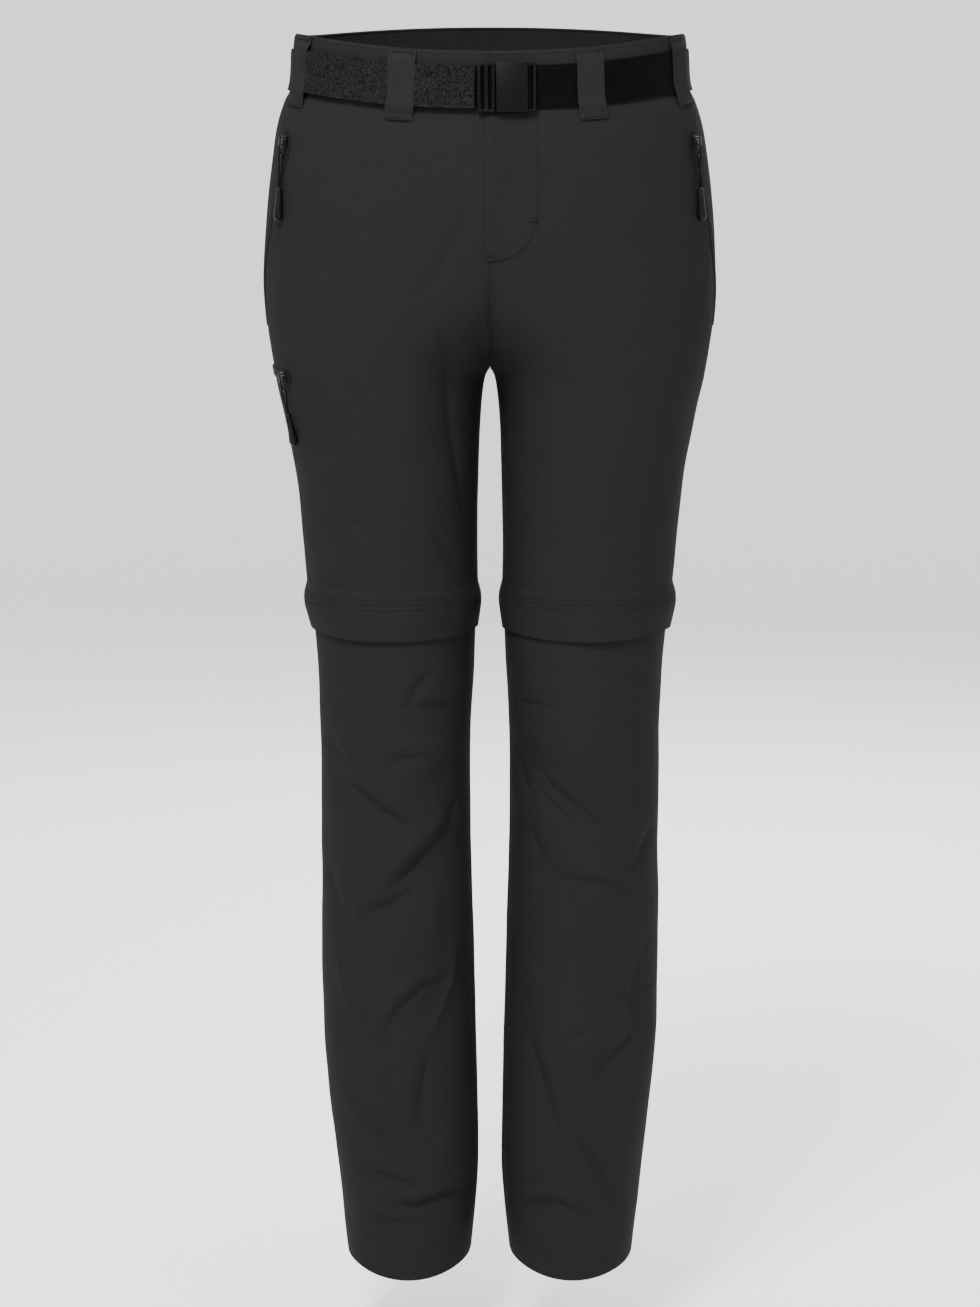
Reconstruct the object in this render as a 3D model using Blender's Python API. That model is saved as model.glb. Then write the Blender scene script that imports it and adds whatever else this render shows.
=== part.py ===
"""Zip-off trekking trousers with their belt, filled out as when worn, and hollow.

The origin is the middle of the waist, level with the middle of the belt at the sides. +Z is up, the front
faces -Y, and the wearer's left is +X. Sizes are in millimetres, and MM turns them into metres.
"""
import math
from collections import namedtuple

import bmesh
import bpy
from mathutils import Matrix, Vector

MM = 0.001

# Cloth and seams
CLOTH = 2.0
SEAM_GAP = 0.3
HALF_GAP = SEAM_GAP / 2
THICKEST_AT_SEAM = 3 * CLOTH
COLUMNS = 11

# Levels on the side seam
WAIST_TOP = 29.0
WAIST_SEAM = -9.0
CROTCH = -253.2
FLAP_TOP = -436.0
UPPER_END = -450.0
LOWER_START = -462.0
FLAP_BOTTOM = -476.0
HEM = -1035.0
SPREAD_START = -246.0
SPREAD_END = -290.0

# Each row is one level of one side of the garment. outer and inner are the side's reach in X. Above the
# crotch inner is negative, because the other half takes over at the middle. front and back are its reach
# in Y, and squareness is 2 for an ellipse and more for a fuller corner.
Section = namedtuple("Section", "z outer inner front back squareness")
UPPER = [
    Section(36, 164.0, -164.0, -105.0, 111.0, 2.3),
    Section(WAIST_TOP, 164.7, -164.7, -105.5, 112.0, 2.3),
    Section(19, 166.0, -166.0, -106.5, 113.0, 2.3),
    Section(WAIST_SEAM, 167.6, -167.6, -108.0, 115.0, 2.3),
    Section(-18.5, 170.0, -170.0, -109.5, 116.5, 2.3),
    Section(-26, 174.0, -174.0, -110.8, 118.0, 2.3),
    Section(-43, 179.8, -179.8, -112.5, 121.0, 2.3),
    Section(-60, 183.4, -183.0, -113.5, 123.5, 2.3),
    Section(-110, 189.8, -168.0, -113.5, 128.5, 2.25),
    Section(-150, 193.0, -133.0, -110.5, 130.0, 2.2),
    Section(-180, 193.9, -97.0, -107.5, 128.5, 2.2),
    Section(-212, 191.6, -52.0, -103.5, 124.0, 2.15),
    Section(-235, 188.4, -20.0, -100.5, 119.0, 2.1),
    Section(CROTCH, 185.2, 0.0, -98.5, 115.0, 2.1),
    Section(-264, 183.4, 4.7, -97.0, 112.5, 2.1),
    Section(-298, 176.1, 8.2, -93.0, 106.0, 2.1),
    Section(-350, 166.6, 9.9, -87.0, 97.5, 2.1),
    Section(-402, 161.5, 10.8, -82.0, 90.0, 2.0),
    Section(FLAP_TOP, 158.4, 10.4, -79.0, 85.5, 2.0),
    Section(UPPER_END, 156.6, 11.0, -77.5, 83.5, 2.0),
]
FLAP = [
    Section(FLAP_TOP, 160.6, 8.2, -81.2, 87.8, 2.0),
    Section(-446, 161.6, 7.3, -82.0, 88.6, 2.0),
    Section(-456, 161.2, 7.4, -81.8, 88.2, 2.0),
    Section(-466, 158.8, 8.6, -80.0, 86.4, 2.0),
    Section(FLAP_BOTTOM, 156.0, 10.0, -78.2, 84.4, 2.0),
]
LOWER = [
    Section(UPPER_END, 156.6, 11.0, -77.5, 83.5, 2.0),
    Section(LOWER_START, 153.8, 11.6, -75.6, 81.4, 2.0),
    Section(-476, 152.6, 12.4, -74.8, 80.6, 2.0),
    Section(-507, 150.2, 13.6, -74.0, 79.5, 2.0),
    Section(-560, 148.2, 16.6, -71.0, 79.0, 2.0),
    Section(-613, 147.9, 17.2, -67.5, 82.0, 2.0),
    Section(-684, 147.8, 16.2, -64.5, 86.0, 2.0),
    Section(-738, 148.6, 14.6, -63.5, 86.5, 2.0),
    Section(-792, 148.4, 13.4, -63.0, 85.0, 2.0),
    Section(-847, 146.8, 12.0, -64.0, 82.5, 2.0),
    Section(-901, 141.6, 10.8, -65.5, 80.5, 2.0),
    Section(-956, 135.2, 10.2, -67.5, 79.0, 2.0),
    Section(-993, 131.5, 12.6, -68.5, 78.5, 2.0),
    Section(HEM, 127.0, 17.0, -69.5, 78.5, 2.0),
]

# Where the seams run, as angles round a section: 0 is the outer side, 90 the front and 180 the inner side.
SeamAngle = namedtuple("SeamAngle", "z side inner")
SEAM_ANGLES = [
    SeamAngle(WAIST_TOP, 10, 180),
    SeamAngle(-18.5, 10, 180),
    SeamAngle(-60, 24, 180),
    SeamAngle(-95, 21, 180),
    SeamAngle(-130, 16, 180),
    SeamAngle(-200, 8, 180),
    SeamAngle(CROTCH, 4, 180),
    SeamAngle(-300, 2, 180),
    SeamAngle(-560, 3, 175),
    SeamAngle(-847, 8, 166),
    SeamAngle(HEM, 8, 170),
]

# How far the middle of the front drops and the middle of the back rises from the level at the sides.
Tilt = namedtuple("Tilt", "z front_drop back_rise")
TILTS = [
    Tilt(WAIST_TOP, 18.0, 11.0),
    Tilt(-25, 18.0, 11.0),
    Tilt(-80, 12.0, 7.5),
    Tilt(-140, 4.5, 3.0),
    Tilt(-200, 0.0, 0.0),
    Tilt(-950, 0.0, 0.0),
    Tilt(HEM, 9.0, -2.0),
]

# The largest folds, each a soft trough between two places (x from the middle, z), with its width and
# depth. A negative depth is a ridge.
Fold = namedtuple("Fold", "leg face x0 z0 x1 z1 width depth")
FOLDS = [
    Fold("right", "front", 74, -595, 26, -570, 13, -2.5),
    Fold("right", "front", 118, -625, 62, -650, 15, 3.5),
    Fold("right", "front", 84, -705, 32, -660, 16, 4.5),
    Fold("right", "front", 112, -722, 60, -700, 14, 3.0),
    Fold("right", "front", 128, -680, 120, -765, 13, 2.5),
    Fold("right", "front", 92, -838, 36, -785, 17, 3.5),
    Fold("right", "front", 34, -770, 58, -880, 20, 3.0),
    Fold("right", "front", 50, -880, 60, -945, 16, 3.0),
    Fold("right", "front", 114, -900, 82, -940, 14, 2.5),
    Fold("right", "front", 84, -990, 20, -972, 15, 2.5),
    Fold("left", "front", 34, -585, 108, -655, 15, 4.5),
    Fold("left", "front", 20, -570, 40, -620, 14, 2.5),
    Fold("left", "front", 72, -630, 118, -600, 22, 2.0),
    Fold("left", "front", 52, -690, 124, -712, 16, 3.0),
    Fold("left", "front", 32, -640, 50, -700, 15, 2.0),
    Fold("left", "front", 134, -735, 122, -835, 15, 3.0),
    Fold("left", "front", 120, -840, 72, -890, 16, 3.5),
    Fold("left", "front", 72, -890, 108, -1000, 16, 3.0),
    Fold("left", "front", 28, -815, 58, -930, 16, 2.5),
    Fold("left", "front", 20, -968, 86, -990, 14, 2.5),
    Fold("right", "front", 38, -215, 35, -350, 18, 2.5),
    Fold("right", "front", 60, -130, 62, -210, 24, 2.0),
    Fold("left", "front", 14, -70, 15, -165, 16, 1.5),
    Fold("right", "back", 28, -500, 118, -540, 16, 3.5),
    Fold("right", "back", 120, -575, 40, -545, 15, 3.0),
    Fold("right", "back", 36, -720, 112, -760, 18, 3.0),
    Fold("right", "back", 30, -895, 100, -860, 17, 3.0),
    Fold("left", "back", 122, -505, 34, -540, 16, 3.5),
    Fold("left", "back", 36, -590, 116, -560, 15, 3.0),
    Fold("left", "back", 112, -690, 30, -745, 18, 3.0),
    Fold("left", "back", 108, -905, 40, -870, 17, 3.0),
    Fold("right", "back", 20, -262, 92, -244, 18, 3.0),
    Fold("left", "back", 20, -266, 118, -246, 20, 3.0),
]
FOLD_END_SHARE = 0.35
SIDE_FADE = 3.0

# Small steps for measuring directions on the cloth, in radians round it and millimetres down it
AROUND_STEP = 0.02
DOWN_STEP = 1.5
ARC_STEP = 0.05

# Levels of the rings of points in each panel
UPPER_ROWS = [WAIST_SEAM - HALF_GAP, -18.5, -26, -48, -75, -110, -145, -178, -205, -224, -237, -246, -251,
              CROTCH, -257, -266, -290, -325, -365, -402, FLAP_TOP, UPPER_END + HALF_GAP]
LOWER_ROWS = [LOWER_START - HALF_GAP, -478, -498, -520, -542, -564, -586, -608, -630, -652, -675, -698,
              -722, -748, -776, -806, -838, -870, -902, -934, -966, -998, HEM]
WAISTBAND_ROWS = [WAIST_TOP, 10.0, WAIST_SEAM + HALF_GAP]
FLAP_ROWS = [FLAP_TOP, -446, -456, -466, FLAP_BOTTOM]
WAISTBAND_PROUD = 0.5
FLAP_CLOTH = 1.6

# Belt
WEBBING_WIDTH = 35.0
WEBBING = 1.5
BELT_LEVEL = -1.0
BELT_TOP = BELT_LEVEL + WEBBING_WIDTH / 2
BELT_BOTTOM = BELT_LEVEL - WEBBING_WIDTH / 2
BELT_CLEARANCE = 0.4
STRAP_OUT = WAISTBAND_PROUD + BELT_CLEARANCE
TAIL_OUT = STRAP_OUT + WEBBING + SEAM_GAP
STRAP_END_LEFT = 33.0
STRAP_END_RIGHT = 2.0
TAIL_START = -12.5
TAIL_END = -158.0

# Belt loops: the middle of each in X, the face it is on, and whether the doubled strap runs under it
BeltLoop = namedtuple("BeltLoop", "name x face doubled")
BELT_LOOPS = [
    BeltLoop("belt_loop_side_right", -155, "front", True),
    BeltLoop("belt_loop_front_right", -72, "front", True),
    BeltLoop("belt_loop_front_left", 82, "front", False),
    BeltLoop("belt_loop_side_left", 156, "front", False),
    BeltLoop("belt_loop_back_left", 96, "back", False),
    BeltLoop("belt_loop_back_middle", 0, "back", False),
    BeltLoop("belt_loop_back_right", -96, "back", False),
]
LOOP_WIDTH = 23.0
LOOP_CLOTH = 1.4
LOOP_TOP = 28.0
LOOP_BOTTOM = -30.0
LOOP_BAR = 5.0
LOOP_SEAT = 0.45
LOOP_SLACK = 0.4
LOOP_FOOT_LIFT = 0.3

# Fly lap: its folded edge lies a little past the middle, and its stitching turns in at the foot as a J
FLY_EDGE = -3.5
FLY_WIDTH = 41.0
FLY_TOP = -23.0
FLY_TURN = -112.0
FLY_FOOT = -157.0
FLY_CLOTH = 1.2

# Zips
TAPE_HALF_WIDTH = 4.0
TAPE = 1.2
TAPE_SEAT = 0.5
POCKET_ZIP_TOP = -53.0
POCKET_ZIP_BOTTOM = -216.0
THIGH_ZIP_FRONT_COLUMN = 2.1
THIGH_ZIP_BACK_COLUMN = 3.7
THIGH_ZIP_FRONT_Z = -258.0
THIGH_ZIP_BACK_Z = -248.0
THIGH_SLIDER_COLUMN = 1.85

# Slider, its link, the looped cord and the toggle
SLIDER_WIDTH = 8.0
SLIDER_LENGTH = 9.6
SLIDER_PLATE = 2.0
SLIDER_SEAT = TAPE_SEAT + TAPE + 0.3
BRIDGE_WIDTH = 2.8
BRIDGE_OPENING = 5.2
BRIDGE_HEIGHT = 2.7
BRIDGE_METAL = 1.0
WIRE_RADIUS = 0.8
AXIS_OVER_PLATE = 1.35
LINK_HALF_WIDTH = 3.4
LINK_LENGTH = 12.0
PULL_CORD_RADIUS = 0.75
PULL_CORD_LENGTH = 27.0
THIGH_CORD_LENGTH = 20.0
TOGGLE_LENGTH = 27.0
TOGGLE_TOP_RADIUS = 2.6
TOGGLE_FOOT_RADIUS = 3.9
TOGGLE_OVER_CLOTH = 0.6
FOOT_ROUNDS = 12
WIRE_SIDES = 6
TOGGLE_SIDES = 12

# Buckle, in its own plane: across is measured from the buckle's middle, out is away from the cloth
BUCKLE_X = 13.5
FRAME_LEFT = -24.0
FRAME_RIGHT = -9.2
SOCKET_LEFT = -8.9
SOCKET_RIGHT = 17.2
END_SLOT_RIGHT = 21.4
SOCKET_END = 24.2
FRAME_HALF_HEIGHT = 20.2
SOCKET_HALF_HEIGHT = 20.2
SLOT_HALF_HEIGHT = 17.7
SIDE_BAR = 3.0
MIDDLE_BAR_LEFT = -18.2
MIDDLE_BAR_RIGHT = -15.0
BUCKLE_OUT = STRAP_OUT + WEBBING + 0.5
FRAME_THICKNESS = 3.2
SOCKET_BACK = 2.0
SOCKET_FRONT = 8.6
PLASTIC_EDGE = 0.5


def remove_everything():
    for item in list(bpy.data.objects):
        bpy.data.objects.remove(item, do_unlink=True)


def finish(name, colour, roughness, metallic=0.0):
    """A material with one colour, for one kind of piece."""
    material = bpy.data.materials.new(name)
    material.use_nodes = True
    shader = material.node_tree.nodes["Principled BSDF"]
    shader.inputs["Base Color"].default_value = (*colour, 1.0)
    shader.inputs["Roughness"].default_value = roughness
    shader.inputs["Metallic"].default_value = metallic
    return material


def read_between(rows, field, z):
    """The value of one column of a table at level z, on a smooth curve through its rows."""
    if z >= rows[0].z:
        return getattr(rows[0], field)
    if z <= rows[-1].z:
        return getattr(rows[-1], field)
    index = next(i for i in range(len(rows) - 1) if rows[i + 1].z <= z)
    upper, lower = rows[index], rows[index + 1]
    start, end = getattr(upper, field), getattr(lower, field)
    span = lower.z - upper.z

    def slope(i):
        before, after = rows[max(i - 1, 0)], rows[min(i + 1, len(rows) - 1)]
        return (getattr(after, field) - getattr(before, field)) / (after.z - before.z)

    s = (z - upper.z) / span
    rise = start * (2 * s**3 - 3 * s**2 + 1) + end * (3 * s**2 - 2 * s**3)
    bend = slope(index) * span * (s**3 - 2 * s**2 + s) + slope(index + 1) * span * (s**3 - s**2)
    return rise + bend


def signed_power(value, exponent):
    return math.copysign(abs(value) ** exponent, value)


def oval(sections, z):
    """Centre, half width, middle and half depth of the section at z, and the exponent of its curve."""
    outer, inner = read_between(sections, "outer", z), read_between(sections, "inner", z)
    front, back = read_between(sections, "front", z), read_between(sections, "back", z)
    power = 2 / read_between(sections, "squareness", z)
    return (outer + inner) / 2, (outer - inner) / 2, (front + back) / 2, (back - front) / 2, power


def fold_depth(leg, angle, x, z):
    """How far the folds press the cloth in at one place."""
    face = "front" if math.sin(angle) > 0 else "back"
    depth = 0.0
    for fold in FOLDS:
        if fold.leg != leg or fold.face != face:
            continue
        along_x, along_z = fold.x1 - fold.x0, fold.z1 - fold.z0
        length_squared = along_x**2 + along_z**2
        share = ((x - fold.x0) * along_x + (z - fold.z0) * along_z) / length_squared
        share = min(max(share, 0.0), 1.0)
        away = math.hypot(x - fold.x0 - share * along_x, z - fold.z0 - share * along_z)
        taper = FOLD_END_SHARE + (1 - FOLD_END_SHARE) * math.sin(math.pi * share)
        depth += fold.depth * taper * math.exp(-((away / fold.width) ** 2))
    return depth * min(1.0, SIDE_FADE * abs(math.sin(angle)))


def smooth_form(sections, angle, z):
    """A point of the cloth before folds, on the wearer's left, with its level tilted as worn."""
    centre, half_width, middle, half_depth, power = oval(sections, z)
    sine, cosine = math.sin(angle), math.cos(angle)
    x = centre + half_width * signed_power(cosine, power)
    y = middle - half_depth * signed_power(sine, power)
    if sine > 0:
        level = z - read_between(TILTS, "front_drop", z) * sine**2
    else:
        level = z + read_between(TILTS, "back_rise", z) * sine**2
    return Vector((x, y, level))


def outward(place, angle, z):
    """The outward normal of a surface that is given as a function of angle and level."""
    around = place(angle + AROUND_STEP, z) - place(angle - AROUND_STEP, z)
    down = place(angle, z - DOWN_STEP) - place(angle, z + DOWN_STEP)
    return around.cross(down).normalized()


def folded_form(sections, leg, angle, z):
    def plain(a, level):
        return smooth_form(sections, a, level)

    point = plain(angle, z)
    depth = fold_depth(leg, angle, point.x, point.z)
    if abs(depth) < 0.01:
        return point
    return point - outward(plain, angle, z) * depth


def cloth_point(sections, leg, angle, z, out=0.0):
    """A point of the cloth's outer face, moved out by a distance, with its normal and its direction round."""
    def folded(a, level):
        return folded_form(sections, leg, a, level)

    normal = outward(folded, angle, z)
    around = (folded(angle + AROUND_STEP, z) - folded(angle - AROUND_STEP, z)).normalized()
    return folded(angle, z) + normal * out, normal, around


def to_side(leg, vector):
    """Mirror a vector to the wearer's right where the leg is the right one."""
    return vector if leg == "left" else Vector((-vector.x, vector.y, vector.z))


def side_angle(z):
    return math.radians(read_between(SEAM_ANGLES, "side", z))


def inner_angle(sections, z):
    """The angle at which a section meets the centre seam, or its inseam where the legs are apart."""
    centre, half_width, _, _, power = oval(sections, z)
    if centre >= half_width or z <= CROTCH:
        return math.radians(read_between(SEAM_ANGLES, "inner", z))
    return math.acos(-((max(centre, 0.0) / half_width) ** (1 / power)))


def panel_angles(sections, face, z, columns=COLUMNS):
    """The angles of a panel's columns at one level, from the side seam to the inner seam.

    Close to the crotch the inner seam's angle changes fast, and the columns between follow it more slowly.
    """
    start, end = side_angle(z), inner_angle(sections, z)
    spread = end
    if SPREAD_END < z < SPREAD_START:
        share = (SPREAD_START - z) / (SPREAD_START - SPREAD_END)
        first = inner_angle(sections, SPREAD_START)
        spread = math.pi - (math.pi - first) * (1 - share) ** 3
    if face == "back":
        end = end - 2 * math.pi if z <= CROTCH else -end
        spread = end if SPREAD_END >= z else -spread
    return [start + (spread - start) * i / columns for i in range(columns)] + [end]


def centre_seam_points(point, normal, out, thickness):
    """The outer and inner edge of the wall in the middle plane, HALF_GAP from it."""
    in_plane = math.hypot(normal.y, normal.z)
    reach = min(1 / in_plane, THICKEST_AT_SEAM / CLOTH)
    direction = Vector((0.0, normal.y, normal.z)) / in_plane
    edge = Vector((HALF_GAP, point.y, point.z))
    outer = edge + direction * out * reach
    return outer, outer - direction * thickness * reach


def panel_rows(sections, leg, face, rows, out=0.0, thickness=CLOTH, side_gap=HALF_GAP):
    """The outer and inner points of a panel, with half a seam's gap kept along its side and inner edges."""
    forward = 1 if face == "front" else -1
    outer_rows, inner_rows = [], []
    for z in rows:
        outer_row, inner_row = [], []
        angles = panel_angles(sections, face, z)
        for index, angle in enumerate(angles):
            point, normal, around = cloth_point(sections, leg, angle, z)
            shift = Vector((0.0, 0.0, 0.0))
            if index == 0:
                shift = around * side_gap * forward
            elif index == len(angles) - 1:
                shift = -around * HALF_GAP * forward
            if index == len(angles) - 1 and z >= CROTCH:
                outer, inner = centre_seam_points(point, normal, out, thickness)
                if z == CROTCH:
                    outer.y -= HALF_GAP * forward
                    inner.y -= HALF_GAP * forward
            else:
                outer = point + normal * out + shift
                inner = outer - normal * thickness
            outer_row.append(to_side(leg, outer))
            inner_row.append(to_side(leg, inner))
        outer_rows.append(outer_row)
        inner_rows.append(inner_row)
    return outer_rows, inner_rows


def add_object(name, mesh, material, parent=None):
    mesh.materials.append(material)
    mesh.shade_smooth()
    mesh.set_sharp_from_angle(angle=math.radians(35))
    item = bpy.data.objects.new(name, mesh)
    bpy.context.collection.objects.link(item)
    item.parent = parent
    return item


def add_wall(name, outer_rows, inner_rows, material, ring=False, parent=None):
    """A closed solid between two grids of points. A ring's last column joins its first."""
    rows, columns = len(outer_rows), len(outer_rows[0])
    mesh_data = bmesh.new()
    outer = [[mesh_data.verts.new(point * MM) for point in row] for row in outer_rows]
    inner = [[mesh_data.verts.new(point * MM) for point in row] for row in inner_rows]
    spans = columns if ring else columns - 1
    for i in range(rows - 1):
        for j in range(spans):
            k = (j + 1) % columns
            mesh_data.faces.new((outer[i][j], outer[i][k], outer[i + 1][k], outer[i + 1][j]))
            mesh_data.faces.new((inner[i][j], inner[i + 1][j], inner[i + 1][k], inner[i][k]))
    for j in range(spans):
        k = (j + 1) % columns
        mesh_data.faces.new((outer[0][j], inner[0][j], inner[0][k], outer[0][k]))
        mesh_data.faces.new((outer[-1][j], outer[-1][k], inner[-1][k], inner[-1][j]))
    if not ring:
        for i in range(rows - 1):
            mesh_data.faces.new((outer[i][0], outer[i + 1][0], inner[i + 1][0], inner[i][0]))
            mesh_data.faces.new((outer[i][-1], inner[i][-1], inner[i + 1][-1], outer[i + 1][-1]))
    bmesh.ops.recalc_face_normals(mesh_data, faces=mesh_data.faces)
    mesh = bpy.data.meshes.new(name)
    mesh_data.to_mesh(mesh)
    mesh_data.free()
    return add_object(name, mesh, material, parent)


def add_panels(materials):
    """The eight large pieces of the legs."""
    for leg in ("left", "right"):
        for face in ("front", "back"):
            add_wall(f"upper_{face}_{leg}", *panel_rows(UPPER, leg, face, UPPER_ROWS), materials["cloth"])
            add_wall(f"lower_{face}_{leg}", *panel_rows(LOWER, leg, face, LOWER_ROWS), materials["cloth"])


def add_waistband(materials):
    thickness = CLOTH + WAISTBAND_PROUD
    for leg in ("left", "right"):
        front = panel_rows(UPPER, leg, "front", WAISTBAND_ROWS, WAISTBAND_PROUD, thickness)
        add_wall(f"waistband_front_{leg}", *front, materials["cloth"])
    halves = [panel_rows(UPPER, leg, "back", WAISTBAND_ROWS, WAISTBAND_PROUD, thickness)
              for leg in ("right", "left")]
    joined = []
    for right_rows, left_rows in zip(halves[0], halves[1]):
        grid = []
        for right, left in zip(right_rows, left_rows):
            middle = (right[-1] + left[-1]) / 2
            grid.append(right[:-1] + [middle] + left[-2::-1])
        joined.append(grid)
    add_wall("waistband_back", joined[0], joined[1], materials["cloth"])


def leg_ring(sections, leg, rows, out=0.0, thickness=CLOTH):
    """Points all round one leg, on the columns of the front and back panels."""
    outer_rows, inner_rows = [], []
    for z in rows:
        front = panel_angles(sections, "front", z)
        back = [angle + 2 * math.pi for angle in panel_angles(sections, "back", z)]
        angles = front + back[-2:0:-1]
        outer_row, inner_row = [], []
        for angle in angles:
            outer, normal, _ = cloth_point(sections, leg, angle, z, out)
            outer_row.append(to_side(leg, outer))
            inner_row.append(to_side(leg, outer - normal * thickness))
        outer_rows.append(outer_row)
        inner_rows.append(inner_row)
    return outer_rows, inner_rows


def add_knee_bands(materials):
    """The flap over each zip-off zip, and the zip itself between the upper and the lower leg."""
    zip_rows = [UPPER_END - HALF_GAP, LOWER_START + HALF_GAP]
    for leg in ("left", "right"):
        flap = leg_ring(FLAP, leg, FLAP_ROWS, 0.0, FLAP_CLOTH)
        add_wall(f"knee_flap_{leg}", *flap, materials["cloth"], ring=True)
        add_wall(f"knee_zip_{leg}", *leg_ring(LOWER, leg, zip_rows), materials["zip"], ring=True)


def arc_step(leg, angle, z):
    """Millimetres of cloth for each radian round the section."""
    ahead, _, _ = cloth_point(UPPER, leg, angle + ARC_STEP, z)
    behind, _, _ = cloth_point(UPPER, leg, angle - ARC_STEP, z)
    return (ahead - behind).length / (2 * ARC_STEP)


def waist_angle(x, face="front"):
    """The angle of the waist's full oval, as seen from the wearer's left, at a place in X."""
    centre, half_width, _, _, power = oval(UPPER, BELT_LEVEL)
    angle = math.acos(signed_power((x - centre) / half_width, 1 / power))
    return angle if face == "front" else -angle


def waist_columns():
    """The waistband's columns as angles all the way down round the oval, from the front's middle."""
    front = panel_angles(UPPER, "front", BELT_LEVEL)[::-1]
    back = panel_angles(UPPER, "back", BELT_LEVEL)[1:]
    left_half = front + back
    right_half = [-math.pi - angle for angle in left_half[::-1]][1:]
    return left_half + right_half


def band_rows(angles, top, bottom, out, thickness):
    outer_rows, inner_rows = [], []
    for z in (top, bottom):
        points = [cloth_point(UPPER, "none", angle, z, out) for angle in angles]
        inner_rows.append([point for point, _, _ in points])
        outer_rows.append([point + normal * thickness for point, normal, _ in points])
    return outer_rows, inner_rows


def add_belt(materials):
    start, end = waist_angle(STRAP_END_LEFT), waist_angle(STRAP_END_RIGHT) - 2 * math.pi
    inside = [angle for angle in waist_columns() if end + AROUND_STEP < angle < start - AROUND_STEP]
    strap = band_rows([start, *inside, end], BELT_TOP, BELT_BOTTOM, STRAP_OUT, WEBBING)
    add_wall("belt_strap", *strap, materials["webbing"])
    start, end = waist_angle(TAIL_END) - 2 * math.pi, waist_angle(TAIL_START) - 2 * math.pi
    inside = [angle for angle in waist_columns() if end + AROUND_STEP < angle < start - AROUND_STEP]
    tail = band_rows([start, *inside, end], BELT_TOP, BELT_BOTTOM, TAIL_OUT, WEBBING)
    add_wall("belt_tail", *tail, materials["webbing"])


def add_belt_loops(materials):
    """Each loop is a strip of cloth that is sewn down at both ends and bridges the belt."""
    for loop in BELT_LOOPS:
        over = (TAIL_OUT if loop.doubled else STRAP_OUT) + WEBBING + LOOP_SLACK
        middle = waist_angle(loop.x, loop.face)
        half_turn = LOOP_WIDTH / 2 / arc_step("none", middle, BELT_LEVEL)
        profile = [
            (LOOP_TOP, WAISTBAND_PROUD + LOOP_SEAT),
            (LOOP_TOP - LOOP_BAR, WAISTBAND_PROUD + LOOP_SEAT),
            (BELT_TOP + 1.0, over),
            (BELT_BOTTOM - 1.0, over),
            (LOOP_BOTTOM + LOOP_BAR, LOOP_SEAT + LOOP_FOOT_LIFT),
            (LOOP_BOTTOM, LOOP_SEAT),
        ]
        outer_rows, inner_rows = [], []
        for z, out in profile:
            points = [cloth_point(UPPER, "none", middle + half_turn * side, z, out) for side in (-1, 0, 1)]
            inner_rows.append([point for point, _, _ in points])
            outer_rows.append([point + normal * LOOP_CLOTH for point, normal, _ in points])
        add_wall(loop.name, outer_rows, inner_rows, materials["cloth"])


def panel_line(leg, face, z):
    """The points and normals along one level of an upper panel, between its two nearest rings."""
    index = next(i for i in range(len(UPPER_ROWS) - 1) if UPPER_ROWS[i + 1] <= z)
    above, below = UPPER_ROWS[index], UPPER_ROWS[index + 1]
    share = (above - z) / (above - below)
    line = []
    for high, low in zip(panel_angles(UPPER, face, above), panel_angles(UPPER, face, below)):
        high_point, high_normal, _ = cloth_point(UPPER, leg, high, above)
        low_point, low_normal, _ = cloth_point(UPPER, leg, low, below)
        line.append((high_point.lerp(low_point, share), high_normal.lerp(low_normal, share).normalized()))
    return line


def front_points(places, z, out):
    """Points on the front panels at some places in X at one level, moved out from the cloth."""
    points = []
    for x in places:
        if x == 0:
            edges = [panel_line(leg, "front", z)[-1] for leg in ("left", "right")]
            point, normal = min(edges, key=lambda edge: edge[0].y)
            normal = Vector((0.0, normal.y, normal.z)).normalized()
            points.append(Vector((0.0, point.y, point.z)) + normal * out)
            continue
        leg = "left" if x > 0 else "right"
        line = panel_line(leg, "front", z)[::-1]
        near, far = next(pair for pair in zip(line, line[1:]) if pair[1][0].x >= abs(x))
        share = (abs(x) - near[0].x) / (far[0].x - near[0].x)
        point, normal = near[0].lerp(far[0], share), near[1].lerp(far[1], share).normalized()
        points.append(to_side(leg, point + normal * out))
    return points


def fly_width(z):
    """The fly's reach to the wearer's left, which turns in at its foot in a quarter of an ellipse."""
    if z >= FLY_TURN:
        return FLY_WIDTH
    share = (FLY_TURN - z) / (FLY_TURN - FLY_FOOT)
    return FLY_WIDTH * math.sqrt(max(1 - share**2, 0.0)) + 1.0


def add_fly(materials):
    levels = [FLY_TOP, -26, -48, -75, -110, -128, -141, -151, FLY_FOOT]
    outer_rows, inner_rows = [], []
    for z in levels:
        width = fly_width(z)
        places = [FLY_EDGE, 0.0] + [width * share for share in (0.25, 0.5, 0.75, 1.0)]
        inner_rows.append(front_points(places, z, TAPE_SEAT))
        outer_rows.append(front_points(places, z, TAPE_SEAT + FLY_CLOTH))
    add_wall("fly_lap", outer_rows, inner_rows, materials["cloth"])


def on_panel(leg, face, column, z, out):
    """A point on an upper panel at a place among its columns, moved out from the cloth, and its normal."""
    whole = min(int(column), COLUMNS - 1)
    near, far = panel_line(leg, face, z)[whole:whole + 2]
    normal = near[1].lerp(far[1], column - whole).normalized()
    point = near[0].lerp(far[0], column - whole) + normal * out
    return to_side(leg, point), to_side(leg, normal)


def add_tape(name, leg, rows, materials):
    """A zip's tape on the panels, from rows of (face, column, level)."""
    outer_rows, inner_rows = [], []
    for row in rows:
        points = [on_panel(leg, face, column, z, TAPE_SEAT) for face, column, z in row]
        inner_rows.append([point for point, _ in points])
        outer_rows.append([point + normal * TAPE for point, normal in points])
    add_wall(name, outer_rows, inner_rows, materials["zip"])


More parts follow.
